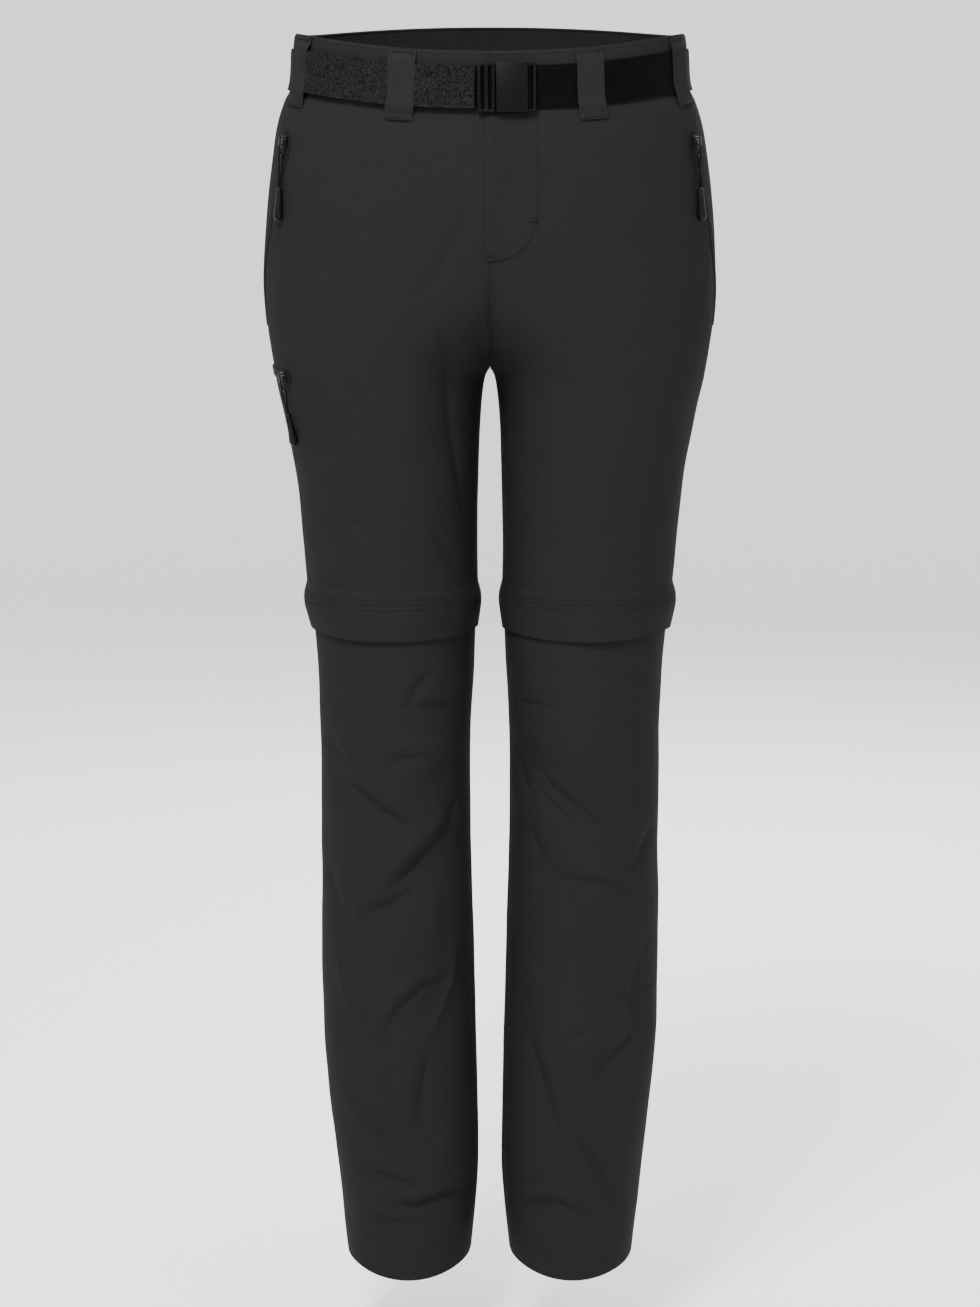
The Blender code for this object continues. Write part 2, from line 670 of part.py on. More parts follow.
def add_pocket_zips(materials):
    """The hand-pocket zips lie on the side seams."""
    for leg in ("left", "right"):
        rows = []
        for z in [POCKET_ZIP_TOP, -75, -110, -145, -178, -205, POCKET_ZIP_BOTTOM]:
            row = []
            for face, seam_side in (("front", 1), ("front", 0), ("back", 1)):
                line = panel_line(leg, face, z)
                spacing = (line[1][0] - line[0][0]).length
                row.append((face, seam_side * TAPE_HALF_WIDTH / spacing, z))
            rows.append(row)
        add_tape(f"pocket_zip_{leg}", leg, rows, materials)


def add_thigh_zip(materials):
    """The thigh zip runs round the wearer's right side, from the front panel on to the back one."""
    stops = [("front", THIGH_ZIP_FRONT_COLUMN)]
    stops += [("front", column) for column in range(int(THIGH_ZIP_FRONT_COLUMN), -1, -1)]
    stops += [("back", column) for column in range(1, int(THIGH_ZIP_BACK_COLUMN) + 1)]
    stops.append(("back", THIGH_ZIP_BACK_COLUMN))
    length = THIGH_ZIP_FRONT_COLUMN + THIGH_ZIP_BACK_COLUMN
    rows = []
    for lift in (TAPE_HALF_WIDTH, 0, -TAPE_HALF_WIDTH):
        row = []
        for face, column in stops:
            passed = THIGH_ZIP_FRONT_COLUMN + (column if face == "back" else -column)
            middle = THIGH_ZIP_FRONT_Z + (THIGH_ZIP_BACK_Z - THIGH_ZIP_FRONT_Z) * passed / length
            row.append((face, column, middle + lift))
        rows.append(row)
    add_tape("thigh_zip", "right", rows, materials)


def add_cells(name, x_breaks, y_breaks, z_breaks, filled, material, parent, edge=0.0):
    """A solid of box cells between breaks along X, Y and Z. filled says whether a cell is solid."""
    mesh_data = bmesh.new()
    corners = {}

    def corner(i, j, k):
        if (i, j, k) not in corners:
            place = Vector((x_breaks[i], y_breaks[j], z_breaks[k])) * MM
            corners[i, j, k] = mesh_data.verts.new(place)
        return corners[i, j, k]

    counts = (len(x_breaks) - 1, len(y_breaks) - 1, len(z_breaks) - 1)

    def solid(cell):
        inside = all(0 <= cell[axis] < counts[axis] for axis in range(3))
        return inside and filled(*cell)

    square = ((0, 0), (1, 0), (1, 1), (0, 1))
    for i in range(counts[0]):
        for j in range(counts[1]):
            for k in range(counts[2]):
                if not solid((i, j, k)):
                    continue
                for axis in range(3):
                    for way in (-1, 1):
                        beside = [i, j, k]
                        beside[axis] += way
                        if solid(tuple(beside)):
                            continue
                        loop = []
                        for first, second in square:
                            place = [i, j, k]
                            place[axis] += (way + 1) // 2
                            place[(axis + 1) % 3] += first
                            place[(axis + 2) % 3] += second
                            loop.append(corner(*place))
                        mesh_data.faces.new(loop if way > 0 else loop[::-1])
    if edge:
        bmesh.ops.dissolve_limit(mesh_data, angle_limit=math.radians(1), verts=mesh_data.verts,
                                 edges=mesh_data.edges)
    mesh = bpy.data.meshes.new(name)
    mesh_data.to_mesh(mesh)
    mesh_data.free()
    item = add_object(name, mesh, material, parent)
    if edge:
        bevel = item.modifiers.new("edges", "BEVEL")
        bevel.width = edge * MM
        bevel.segments = 1
        bevel.limit_method = "ANGLE"
    return item


def frame_at(name, point, across, up, out):
    """An empty whose X is across, Y is up and Z is away from the cloth, for pieces that sit there."""
    empty = bpy.data.objects.new(name, None)
    bpy.context.collection.objects.link(empty)
    turn = Matrix((across, up, out)).transposed().to_4x4()
    empty.matrix_world = Matrix.Translation(point * MM) @ turn
    return empty


def add_buckle(materials):
    """The fastened buckle: the adjuster frame on the wearer's right and the socket on the left."""
    angle = waist_angle(BUCKLE_X)
    middle, _, _ = cloth_point(UPPER, "none", angle, BELT_LEVEL)
    top, _, _ = cloth_point(UPPER, "none", angle, BELT_TOP)
    foot, _, _ = cloth_point(UPPER, "none", angle, BELT_BOTTOM)
    ahead, _, _ = cloth_point(UPPER, "none", angle - ARC_STEP, BELT_LEVEL)
    behind, _, _ = cloth_point(UPPER, "none", angle + ARC_STEP, BELT_LEVEL)
    across = (ahead - behind).normalized()
    out = across.cross((top - foot).normalized()).normalized()
    up = out.cross(across)
    place = frame_at("buckle_place", middle, across, up, out)

    frame_x = [FRAME_LEFT, FRAME_LEFT + SIDE_BAR, MIDDLE_BAR_LEFT, MIDDLE_BAR_RIGHT,
               FRAME_RIGHT - SIDE_BAR, FRAME_RIGHT]
    frame_y = [-FRAME_HALF_HEIGHT, -SLOT_HALF_HEIGHT, SLOT_HALF_HEIGHT, FRAME_HALF_HEIGHT]
    frame_z = [BUCKLE_OUT, BUCKLE_OUT + FRAME_THICKNESS]
    add_cells("buckle_frame", frame_x, frame_y, frame_z,
              lambda i, j, k: j != 1 or i in (0, 2, 4), materials["plastic"], place, PLASTIC_EDGE)

    socket_x = [SOCKET_LEFT, SOCKET_RIGHT, END_SLOT_RIGHT, SOCKET_END]
    socket_y = [-SOCKET_HALF_HEIGHT, -SLOT_HALF_HEIGHT, SLOT_HALF_HEIGHT, SOCKET_HALF_HEIGHT]
    socket_z = [SOCKET_BACK, BUCKLE_OUT, BUCKLE_OUT + FRAME_THICKNESS, SOCKET_FRONT]

    def socket_cell(i, j, k):
        return i == 0 or (k == 1 and (j != 1 or i == 2))

    add_cells("buckle_socket", socket_x, socket_y, socket_z, socket_cell, materials["plastic"], place,
              PLASTIC_EDGE)


def add_tube(name, path, radius, closed, material, parent):
    """A round bar or cord along a path in its parent's frame."""
    mesh_data = bmesh.new()
    count = len(path)
    rings = []
    for index, point in enumerate(path):
        before = path[(index - 1) % count] if closed or index else point
        after = path[(index + 1) % count] if closed or index < count - 1 else point
        along = (after - before).normalized()
        side = along.cross(Vector((0, 0, 1)))
        side = Vector((1, 0, 0)) if side.length < 0.2 else side.normalized()
        over = side.cross(along)
        ring = []
        for step in range(WIRE_SIDES):
            turn = 2 * math.pi * (step + 0.5) / WIRE_SIDES
            spoke = side * math.cos(turn) + over * math.sin(turn)
            ring.append(mesh_data.verts.new((point + spoke * radius) * MM))
        rings.append(ring)
    for index in range(count if closed else count - 1):
        here, there = rings[index], rings[(index + 1) % count]
        for step in range(WIRE_SIDES):
            after = (step + 1) % WIRE_SIDES
            mesh_data.faces.new((here[step], here[after], there[after], there[step]))
    if not closed:
        mesh_data.faces.new(rings[0])
        mesh_data.faces.new(rings[-1])
    bmesh.ops.recalc_face_normals(mesh_data, faces=mesh_data.faces)
    mesh = bpy.data.meshes.new(name)
    mesh_data.to_mesh(mesh)
    mesh_data.free()
    return add_object(name, mesh, material, parent)


def add_turned(name, profile, top, material, parent):
    """A solid turned about its parent's Y, from a profile of (distance down, radius)."""
    mesh_data = bmesh.new()
    rings = []
    for down, radius in profile:
        ring = []
        for step in range(TOGGLE_SIDES):
            turn = 2 * math.pi * step / TOGGLE_SIDES
            place = Vector((radius * math.cos(turn), top - down, radius * math.sin(turn)))
            ring.append(mesh_data.verts.new(place * MM))
        rings.append(ring)
    for here, there in zip(rings, rings[1:]):
        for step in range(TOGGLE_SIDES):
            after = (step + 1) % TOGGLE_SIDES
            mesh_data.faces.new((here[step], here[after], there[after], there[step]))
    mesh_data.faces.new(rings[0])
    mesh_data.faces.new(rings[-1])
    bmesh.ops.recalc_face_normals(mesh_data, faces=mesh_data.faces)
    mesh = bpy.data.meshes.new(name)
    mesh_data.to_mesh(mesh)
    mesh_data.free()
    return add_object(name, mesh, material, parent)


def rounded_link():
    """The wire link as a rectangle with cut corners. Its top bar lies on the hinge axis."""
    half, foot, corner = LINK_HALF_WIDTH, -LINK_LENGTH + WIRE_RADIUS, 1.2
    return [Vector((x, y, 0.0)) for x, y in (
        (-half + corner, 0.0), (half - corner, 0.0), (half, -corner), (half, foot / 2),
        (half - 0.4, foot + corner), (half - corner - 0.6, foot), (-half + corner + 0.6, foot),
        (-half + 0.4, foot + corner), (-half, foot / 2), (-half, -corner))]


def cord_loop(length):
    """The cord goes up in front of the link's lower bar, over it and down behind it to the toggle."""
    bar = -LINK_LENGTH + WIRE_RADIUS
    lift = WIRE_RADIUS + PULL_CORD_RADIUS + 0.3
    foot = bar - length
    side = 1.3
    half = [Vector((-side, foot, 0.0)), Vector((-side, foot * 0.6 + bar * 0.4, 0.3)),
            Vector((-0.9, bar - 5.0, 1.1)), Vector((-0.4, bar - 1.2, lift)),
            Vector((-0.2, bar + lift * 0.7, lift * 0.7))]
    top = [Vector((0.0, bar + lift, 0.0))]
    other = [Vector((-point.x, point.y, -point.z)) for point in half[::-1]]
    return half + top + other


def toggle_profile(length):
    """A slim rubber grip that widens to a rounded foot."""
    return [(0.0, TOGGLE_TOP_RADIUS - 0.6), (0.8, TOGGLE_TOP_RADIUS),
            (length * 0.45, TOGGLE_TOP_RADIUS + 0.35), (length * 0.78, TOGGLE_FOOT_RADIUS - 0.2),
            (length - 3.0, TOGGLE_FOOT_RADIUS), (length - 1.0, TOGGLE_FOOT_RADIUS - 0.9),
            (length, TOGGLE_FOOT_RADIUS - 2.2)]


def add_slider_and_pull(name, leg, angle, z, cord_length, materials):
    """A slider on the tape, and its link, cord and toggle on a hinge through the slider's bridge."""
    base, out, around = cloth_point(UPPER, leg, angle, z)
    base, out, around = to_side(leg, base), to_side(leg, out), to_side(leg, around)
    across = Vector((around.x, around.y, 0.0)).normalized()
    if across.x < 0:
        across = -across
    out = (out - across * out.dot(across)).normalized()
    up = out.cross(across)
    seat = frame_at(f"slider_place_{name}", base, across, up, out)

    plate_top = SLIDER_SEAT + SLIDER_PLATE
    half, length = SLIDER_WIDTH / 2, SLIDER_LENGTH / 2
    x_breaks = [-half, -BRIDGE_WIDTH / 2, BRIDGE_WIDTH / 2, half]
    y_breaks = [-length, -BRIDGE_OPENING / 2 - BRIDGE_METAL, -BRIDGE_OPENING / 2, BRIDGE_OPENING / 2,
                BRIDGE_OPENING / 2 + BRIDGE_METAL, length]
    z_breaks = [SLIDER_SEAT, plate_top, plate_top + BRIDGE_HEIGHT, plate_top + BRIDGE_HEIGHT + BRIDGE_METAL]

    def slider_cell(i, j, k):
        if k == 0:
            return True
        if i != 1 or j in (0, 4):
            return False
        return k == 2 or j in (1, 3)

    add_cells(f"slider_{name}", x_breaks, y_breaks, z_breaks, slider_cell, materials["metal"], seat)

    axis_point = base + out * (plate_top + AXIS_OVER_PLATE)
    reach = LINK_LENGTH + cord_length + TOGGLE_LENGTH
    foot_angle, foot_z = angle, z - reach
    for _ in range(FOOT_ROUNDS):
        foot, _, _ = cloth_point(UPPER, leg, foot_angle, foot_z, TOGGLE_FOOT_RADIUS + TOGGLE_OVER_CLOTH)
        foot = to_side(leg, foot)
        sideways = (foot - axis_point).dot(across)
        toward = 1 if leg == "left" else -1
        foot_angle += toward * sideways / arc_step(leg, foot_angle, foot_z)
        foot_z += (foot - axis_point).length - reach
    down = foot - axis_point
    down = (down - across * down.dot(across)).normalized()
    hinge = frame_at(f"hinge_{name}", axis_point, across, -down, across.cross(-down))
    add_tube(f"link_{name}", rounded_link(), WIRE_RADIUS, True, materials["metal"], hinge)
    add_tube(f"pull_cord_{name}", cord_loop(cord_length), PULL_CORD_RADIUS, False, materials["cord"], hinge)
    toggle_top = -LINK_LENGTH + WIRE_RADIUS - cord_length - SEAM_GAP
    add_turned(f"toggle_{name}", toggle_profile(TOGGLE_LENGTH), toggle_top, materials["rubber"], hinge)


def add_pulls(materials):
    slider_z = POCKET_ZIP_TOP - SLIDER_LENGTH / 2 - 2.0
    for leg in ("left", "right"):
        add_slider_and_pull(leg, leg, side_angle(slider_z), slider_z, PULL_CORD_LENGTH, materials)
    angles = panel_angles(UPPER, "front", THIGH_ZIP_FRONT_Z)
    angle = angles[0] + (angles[1] - angles[0]) * THIGH_SLIDER_COLUMN
    add_slider_and_pull("thigh", "right", angle, THIGH_ZIP_FRONT_Z, THIGH_CORD_LENGTH, materials)


def main():
    remove_everything()
    materials = {
        "cloth": finish("anthracite woven cloth", (0.023, 0.023, 0.026), 0.8),
        "webbing": finish("black webbing", (0.008, 0.008, 0.009), 0.85),
        "zip": finish("black zip tape", (0.010, 0.010, 0.011), 0.7),
        "plastic": finish("black buckle plastic", (0.010, 0.010, 0.011), 0.4),
        "metal": finish("black painted zip metal", (0.015, 0.015, 0.016), 0.35, 0.6),
        "cord": finish("black pull cord", (0.012, 0.012, 0.013), 0.8),
        "rubber": finish("black pull rubber", (0.014, 0.014, 0.015), 0.5),
    }
    add_panels(materials)
    add_waistband(materials)
    add_knee_bands(materials)
    add_belt(materials)
    add_belt_loops(materials)
    add_fly(materials)
    add_pocket_zips(materials)
    add_thigh_zip(materials)
    add_buckle(materials)
    add_pulls(materials)
    bpy.context.view_layer.update()


main()
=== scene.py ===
"""Zip-off trekking trousers with their belt, dressed over their solids.

The origin is the middle of the waist, +Z is up, the front faces -Y and the wearer's left is +X. Shapes are
worked out in millimetres, and MM turns them into metres when a mesh is filled.
"""
import math
from collections import namedtuple

import bpy
import numpy as np
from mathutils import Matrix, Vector


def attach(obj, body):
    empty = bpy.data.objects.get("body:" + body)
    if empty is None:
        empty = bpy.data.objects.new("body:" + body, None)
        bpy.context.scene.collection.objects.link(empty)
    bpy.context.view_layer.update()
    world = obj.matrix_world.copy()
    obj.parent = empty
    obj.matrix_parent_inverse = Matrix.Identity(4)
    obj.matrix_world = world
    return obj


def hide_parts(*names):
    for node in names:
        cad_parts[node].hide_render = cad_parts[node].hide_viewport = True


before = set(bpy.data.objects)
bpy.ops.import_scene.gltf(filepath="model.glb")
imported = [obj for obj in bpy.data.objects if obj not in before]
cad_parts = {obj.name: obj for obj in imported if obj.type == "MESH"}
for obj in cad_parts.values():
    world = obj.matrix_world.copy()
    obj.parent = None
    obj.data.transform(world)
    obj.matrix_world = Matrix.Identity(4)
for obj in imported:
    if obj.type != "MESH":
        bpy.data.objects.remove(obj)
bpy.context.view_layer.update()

bl_info = {
    "name": "Zip-off trekking trousers",
    "version": (1, 0, 0),
    "blender": (4, 0, 0),
    "location": "View3D > Sidebar > Trousers",
    "description": "Dresses hollow zip-off trousers and their belt in cloth, webbing and stitching",
    "category": "Object",
}

MM = 0.001

# Levels and cloth, as in the solids
HALF_GAP = 0.15
SOLID_COLUMNS = 11
WAIST_TOP = 29.0
WAIST_SEAM = -9.0
CROTCH = -253.2
FLAP_TOP = -436.0
UPPER_END = -450.0
LOWER_START = -462.0
FLAP_BOTTOM = -476.0
HEM = -1035.0
SPREAD_START = -246.0
SPREAD_END = -290.0
WAISTBAND_PROUD = 0.5

Section = namedtuple("Section", "z outer inner front back squareness")
UPPER = [Section(*row) for row in (
    (36, 164.0, -164.0, -105.0, 111.0, 2.3),
    (WAIST_TOP, 164.7, -164.7, -105.5, 112.0, 2.3),
    (19, 166.0, -166.0, -106.5, 113.0, 2.3),
    (WAIST_SEAM, 167.6, -167.6, -108.0, 115.0, 2.3),
    (-18.5, 170.0, -170.0, -109.5, 116.5, 2.3),
    (-26, 174.0, -174.0, -110.8, 118.0, 2.3),
    (-43, 179.8, -179.8, -112.5, 121.0, 2.3),
    (-60, 183.4, -183.0, -113.5, 123.5, 2.3),
    (-110, 189.8, -168.0, -113.5, 128.5, 2.25),
    (-150, 193.0, -133.0, -110.5, 130.0, 2.2),
    (-180, 193.9, -97.0, -107.5, 128.5, 2.2),
    (-212, 191.6, -52.0, -103.5, 124.0, 2.15),
    (-235, 188.4, -20.0, -100.5, 119.0, 2.1),
    (CROTCH, 185.2, 0.0, -98.5, 115.0, 2.1),
    (-264, 183.4, 4.7, -97.0, 112.5, 2.1),
    (-298, 176.1, 8.2, -93.0, 106.0, 2.1),
    (-350, 166.6, 9.9, -87.0, 97.5, 2.1),
    (-402, 161.5, 10.8, -82.0, 90.0, 2.0),
    (FLAP_TOP, 158.4, 10.4, -79.0, 85.5, 2.0),
    (UPPER_END, 156.6, 11.0, -77.5, 83.5, 2.0),
)]
FLAP = [Section(*row) for row in (
    (FLAP_TOP, 160.6, 8.2, -81.2, 87.8, 2.0),
    (-446, 161.6, 7.3, -82.0, 88.6, 2.0),
    (-456, 161.2, 7.4, -81.8, 88.2, 2.0),
    (-466, 158.8, 8.6, -80.0, 86.4, 2.0),
    (FLAP_BOTTOM, 156.0, 10.0, -78.2, 84.4, 2.0),
)]
LOWER = [Section(*row) for row in (
    (UPPER_END, 156.6, 11.0, -77.5, 83.5, 2.0),
    (LOWER_START, 153.8, 11.6, -75.6, 81.4, 2.0),
    (-476, 152.6, 12.4, -74.8, 80.6, 2.0),
    (-507, 150.2, 13.6, -74.0, 79.5, 2.0),
    (-560, 148.2, 16.6, -71.0, 79.0, 2.0),
    (-613, 147.9, 17.2, -67.5, 82.0, 2.0),
    (-684, 147.8, 16.2, -64.5, 86.0, 2.0),
    (-738, 148.6, 14.6, -63.5, 86.5, 2.0),
    (-792, 148.4, 13.4, -63.0, 85.0, 2.0),
    (-847, 146.8, 12.0, -64.0, 82.5, 2.0),
    (-901, 141.6, 10.8, -65.5, 80.5, 2.0),
    (-956, 135.2, 10.2, -67.5, 79.0, 2.0),
    (-993, 131.5, 12.6, -68.5, 78.5, 2.0),
    (HEM, 127.0, 17.0, -69.5, 78.5, 2.0),
)]
SeamAngle = namedtuple("SeamAngle", "z side inner")
SEAM_ANGLES = [SeamAngle(*row) for row in (
    (WAIST_TOP, 10, 180),
    (-18.5, 10, 180),
    (-60, 24, 180),
    (-95, 21, 180),
    (-130, 16, 180),
    (-200, 8, 180),
    (CROTCH, 4, 180),
    (-300, 2, 180),
    (-560, 3, 175),
    (-847, 8, 166),
    (HEM, 8, 170),
)]
Tilt = namedtuple("Tilt", "z front_drop back_rise")
TILTS = [Tilt(*row) for row in (
    (WAIST_TOP, 18.0, 11.0),
    (-25, 18.0, 11.0),
    (-80, 12.0, 7.5),
    (-140, 4.5, 3.0),
    (-200, 0.0, 0.0),
    (-950, 0.0, 0.0),
    (HEM, 9.0, -2.0),
)]

# The solids' large folds
Fold = namedtuple("Fold", "leg face x0 z0 x1 z1 width depth")
FOLDS = [Fold(*row) for row in (
    ("right", "front", 74, -595, 26, -570, 13, -2.5),
    ("right", "front", 118, -625, 62, -650, 15, 3.5),
    ("right", "front", 84, -705, 32, -660, 16, 4.5),
    ("right", "front", 112, -722, 60, -700, 14, 3.0),
    ("right", "front", 128, -680, 120, -765, 13, 2.5),
    ("right", "front", 92, -838, 36, -785, 17, 3.5),
    ("right", "front", 34, -770, 58, -880, 20, 3.0),
    ("right", "front", 50, -880, 60, -945, 16, 3.0),
    ("right", "front", 114, -900, 82, -940, 14, 2.5),
    ("right", "front", 84, -990, 20, -972, 15, 2.5),
    ("left", "front", 34, -585, 108, -655, 15, 4.5),
    ("left", "front", 20, -570, 40, -620, 14, 2.5),
    ("left", "front", 72, -630, 118, -600, 22, 2.0),
    ("left", "front", 52, -690, 124, -712, 16, 3.0),
    ("left", "front", 32, -640, 50, -700, 15, 2.0),
    ("left", "front", 134, -735, 122, -835, 15, 3.0),
    ("left", "front", 120, -840, 72, -890, 16, 3.5),
    ("left", "front", 72, -890, 108, -1000, 16, 3.0),
    ("left", "front", 28, -815, 58, -930, 16, 2.5),
    ("left", "front", 20, -968, 86, -990, 14, 2.5),
    ("right", "front", 38, -215, 35, -350, 18, 2.5),
    ("right", "front", 60, -130, 62, -210, 24, 2.0),
    ("left", "front", 14, -70, 15, -165, 16, 1.5),
    ("right", "back", 28, -500, 118, -540, 16, 3.5),
    ("right", "back", 120, -575, 40, -545, 15, 3.0),
    ("right", "back", 36, -720, 112, -760, 18, 3.0),
    ("right", "back", 30, -895, 100, -860, 17, 3.0),
    ("left", "back", 122, -505, 34, -540, 16, 3.5),
    ("left", "back", 36, -590, 116, -560, 15, 3.0),
    ("left", "back", 112, -690, 30, -745, 18, 3.0),
    ("left", "back", 108, -905, 40, -870, 17, 3.0),
    ("right", "back", 20, -262, 92, -244, 18, 3.0),
    ("left", "back", 20, -266, 118, -246, 20, 3.0),
)]
FOLD_END_SHARE = 0.35
SIDE_FADE = 3.0

# Cloth is shaded smooth across edges flatter than this angle
SMOOTH_ANGLE = math.radians(60)

# Spacing of the stitches, bartack stitches and zip teeth in millimetres
STITCH_SPACING = 3.1
BAR_SPACING = 0.55
TOOTH_SPACING = 1.3

# Steps to each side for the normals of a surface, in radians and millimetres
ANGLE_STEP = 0.01
LEVEL_STEP = 1.0
FINE_LEVEL_STEP = 0.7

# Creases on the front, each a line of points as they show in the 980 by 1307 view. The wearer's right leg
# is left of the middle. lip is how much of the depth stands up as a ridge along the crease's upper side.
VIEW_MIDDLE = (489.5, 653.5)
VIEW_FOCAL = 3251.0
VIEW_TILT = math.radians(8.15)
CAMERA_BACK = 2800.0
CAMERA_LEVEL = -100.0
Crease = namedtuple("Crease", "width depth lip points")
FRONT_CREASES = [Crease(*row) for row in (
    (8, 1.3, 0.3, ((474, 189), (463, 224), (438, 272), (415, 307))),
    (8, 1.6, 0.2, ((444, 307), (449, 371), (452, 419), (460, 480), (468, 553))),
    (6, 1.2, 0.4, ((431, 527), (457, 569))),
    (6, 1.0, 0.3, ((474, 441), (471, 527))),
    (7, 1.0, 0.0, ((479, 313), (485, 364))),
    (9, 1.0, 0.0, ((511, 300), (509, 400), (513, 480))),
    (8, 0.9, 0.0, ((505, 120), (512, 170), (509, 230))),
    (7, 0.9, 0.3, ((545, 300), (560, 345), (566, 400))),
    (7, 0.8, 0.3, ((400, 330), (392, 380), (398, 430))),
    (6, 0.9, 0.4, ((330, 480), (352, 520), (378, 548))),
    (6, 0.8, 0.4, ((640, 470), (618, 520), (590, 556))),
    (7, 2.0, 0.5, ((327, 735), (346, 770))),
    (6, 2.2, 0.6, ((329, 774), (353, 788), (385, 815), (416, 830))),
    (6, 1.7, 0.6, ((379, 778), (398, 759), (425, 757), (453, 767))),
    (7, 3.0, 0.7, ((386, 896), (424, 856), (450, 828), (455, 800))),
    (6, 1.8, 0.5, ((355, 917), (394, 904), (420, 889))),
    (7, 1.9, 0.5, ((327, 858), (338, 923), (344, 958))),
    (5, 1.2, 0.5, ((342, 902), (355, 945))),
    (8, -1.8, 0.0, ((337, 954), (347, 996), (361, 1024))),
    (6, 2.2, 0.6, ((382, 1036), (401, 1008), (422, 989), (450, 980))),
    (8, -1.8, 0.0, ((455, 930), (452, 984), (436, 1024), (422, 1048))),
    (7, 2.0, 0.4, ((432, 1053), (422, 1095), (420, 1131))),
    (6, 1.9, 0.5, ((354, 1100), (373, 1131), (391, 1154))),
    (5, 1.0, 0.4, ((375, 1131), (391, 1119))),
    (5, 1.9, 0.6, ((354, 1161), (384, 1177), (422, 1190))),
    (5, 2.3, 0.7, ((387, 1204), (415, 1207), (441, 1197), (472, 1185))),
    (5, 1.5, 0.5, ((356, 1219), (396, 1223), (427, 1226))),
    (5, 1.7, 0.5, ((405, 708), (440, 707), (462, 709))),
    (6, 1.5, 0.6, ((404, 711), (417, 690), (431, 671))),
    (4, 1.0, 0.3, ((322, 706), (344, 706))),
    (5, 1.9, 0.5, ((530, 765), (552, 791), (582, 813), (601, 828), (619, 835))),
    (7, 2.2, 0.4, ((527, 778), (549, 806), (575, 826), (595, 832))),
    (6, 1.6, 0.4, ((512, 741), (521, 783), (534, 804))),
    (6, 1.1, 0.4, ((526, 826), (536, 850), (547, 872))),
    (6, 1.5, 0.5, ((552, 878), (601, 883), (638, 899))),
    (5, 1.2, 0.5, ((560, 887), (575, 908))),
    (7, 2.2, 0.4, ((624, 878), (640, 861), (651, 822))),
    (8, 2.2, 0.5, ((650, 930), (636, 989), (637, 1034), (626, 1046), (598, 1076), (586, 1095))),
    (7, 2.0, 0.5, ((574, 1105), (581, 1142), (598, 1171), (612, 1201), (622, 1225))),
    (6, 1.4, 0.5, ((551, 1053), (574, 1039), (598, 1020))),
    (6, 1.4, 0.4, ((522, 1022), (539, 1076), (558, 1142))),
    (5, 1.7, 0.6, ((508, 1200), (551, 1203), (574, 1211), (598, 1225))),
    (4, 1.1, 0.4, ((514, 700), (535, 705), (555, 707))),
    (5, 1.3, 0.5, ((619, 661), (636, 680), (654, 700))),
)]

# Creases on the back, as points (x, z) in millimetres. The wearer's right leg has a negative x.
BACK_CREASES = [Crease(*row) for row in (
    (6, 2.2, 0.6, ((-34, -492), (-70, -512), (-112, -528))),
    (6, 2.0, 0.6, ((-122, -556), (-84, -540), (-48, -548))),
    (7, 2.3, 0.6, ((-40, -585), (-66, -612), (-104, -622))),
    (6, 1.6, 0.5, ((-120, -650), (-96, -676), (-62, -684))),
    (7, 1.8, 0.5, ((-34, -715), (-72, -742), (-108, -750))),
    (7, 1.8, 0.4, ((-118, -800), (-96, -850), (-60, -880))),
    (6, 1.8, 0.5, ((-36, -930), (-66, -950), (-104, -952))),
    (5, 1.5, 0.5, ((-40, -985), (-70, -992), (-96, -984))),
    (6, 2.2, 0.6, ((118, -494), (84, -516), (44, -530))),
    (6, 2.0, 0.6, ((42, -556), (76, -548), (116, -560))),
    (7, 2.2, 0.6, ((112, -596), (86, -622), (50, -636))),
    (6, 1.7, 0.5, ((40, -668), (74, -690), (110, -694))),
    (7, 1.8, 0.5, ((116, -740), (84, -766), (46, -772))),
    (7, 1.8, 0.4, ((38, -820), (62, -866), (98, -892))),
    (6, 1.8, 0.5, ((104, -930), (72, -956), (36, -960))),
    (6, 1.6, 0.5, ((-24, -272), (-60, -268), (-104, -256))),
    (6, 1.6, 0.5, ((26, -276), (66, -268), (112, -252))),
    (7, 1.3, 0.4, ((-18, -240), (-44, -262), (-60, -292))),
    (7, 1.3, 0.4, ((20, -236), (46, -262), (58, -296))),
    (8, 1.0, 0.0, ((-150, -300), (-120, -360), (-90, -392))),
    (8, 1.0, 0.0, ((146, -310), (116, -366), (88, -400))),
)]
CREASE_SOFTNESS = 1.0
CREASE_SHARE = 1.35
BACK_SHARE = 1.4
CREASE_LINE = 0.3
CREASE_LINE_WIDTH = 2.6
LIP_OFFSET = 1.6

# Fine unevenness of the cloth: waves across X and Z with their height
Wave = namedtuple("Wave", "along_x along_z shift height")
WAVES = [Wave(*row) for row in (
    (0.071, 0.023, 0.4, 0.16),
    (-0.043, 0.052, 1.9, 0.18),
    (0.118, -0.061, 3.1, 0.09),
    (0.029, 0.109, 5.2, 0.10),
    (-0.151, -0.087, 0.9, 0.05),
)]

# Grids, shells and seams of the cloth
GRID_STEP = 2.1
SHELL = 0.9
BAND_SHELL = 2.2
LAP_SHELL = 0.8
WELT_SHELL = 0.5
SEAM_DIP = 0.7
SEAM_DIP_WIDTH = 1.7
LAP = 5.0
LAP_DEPTH = 1.3
SADDLE_START = -205.0
SADDLE_LENGTH = 20.0
SADDLE_LAP = (-1.0, 0.0, 0.4)

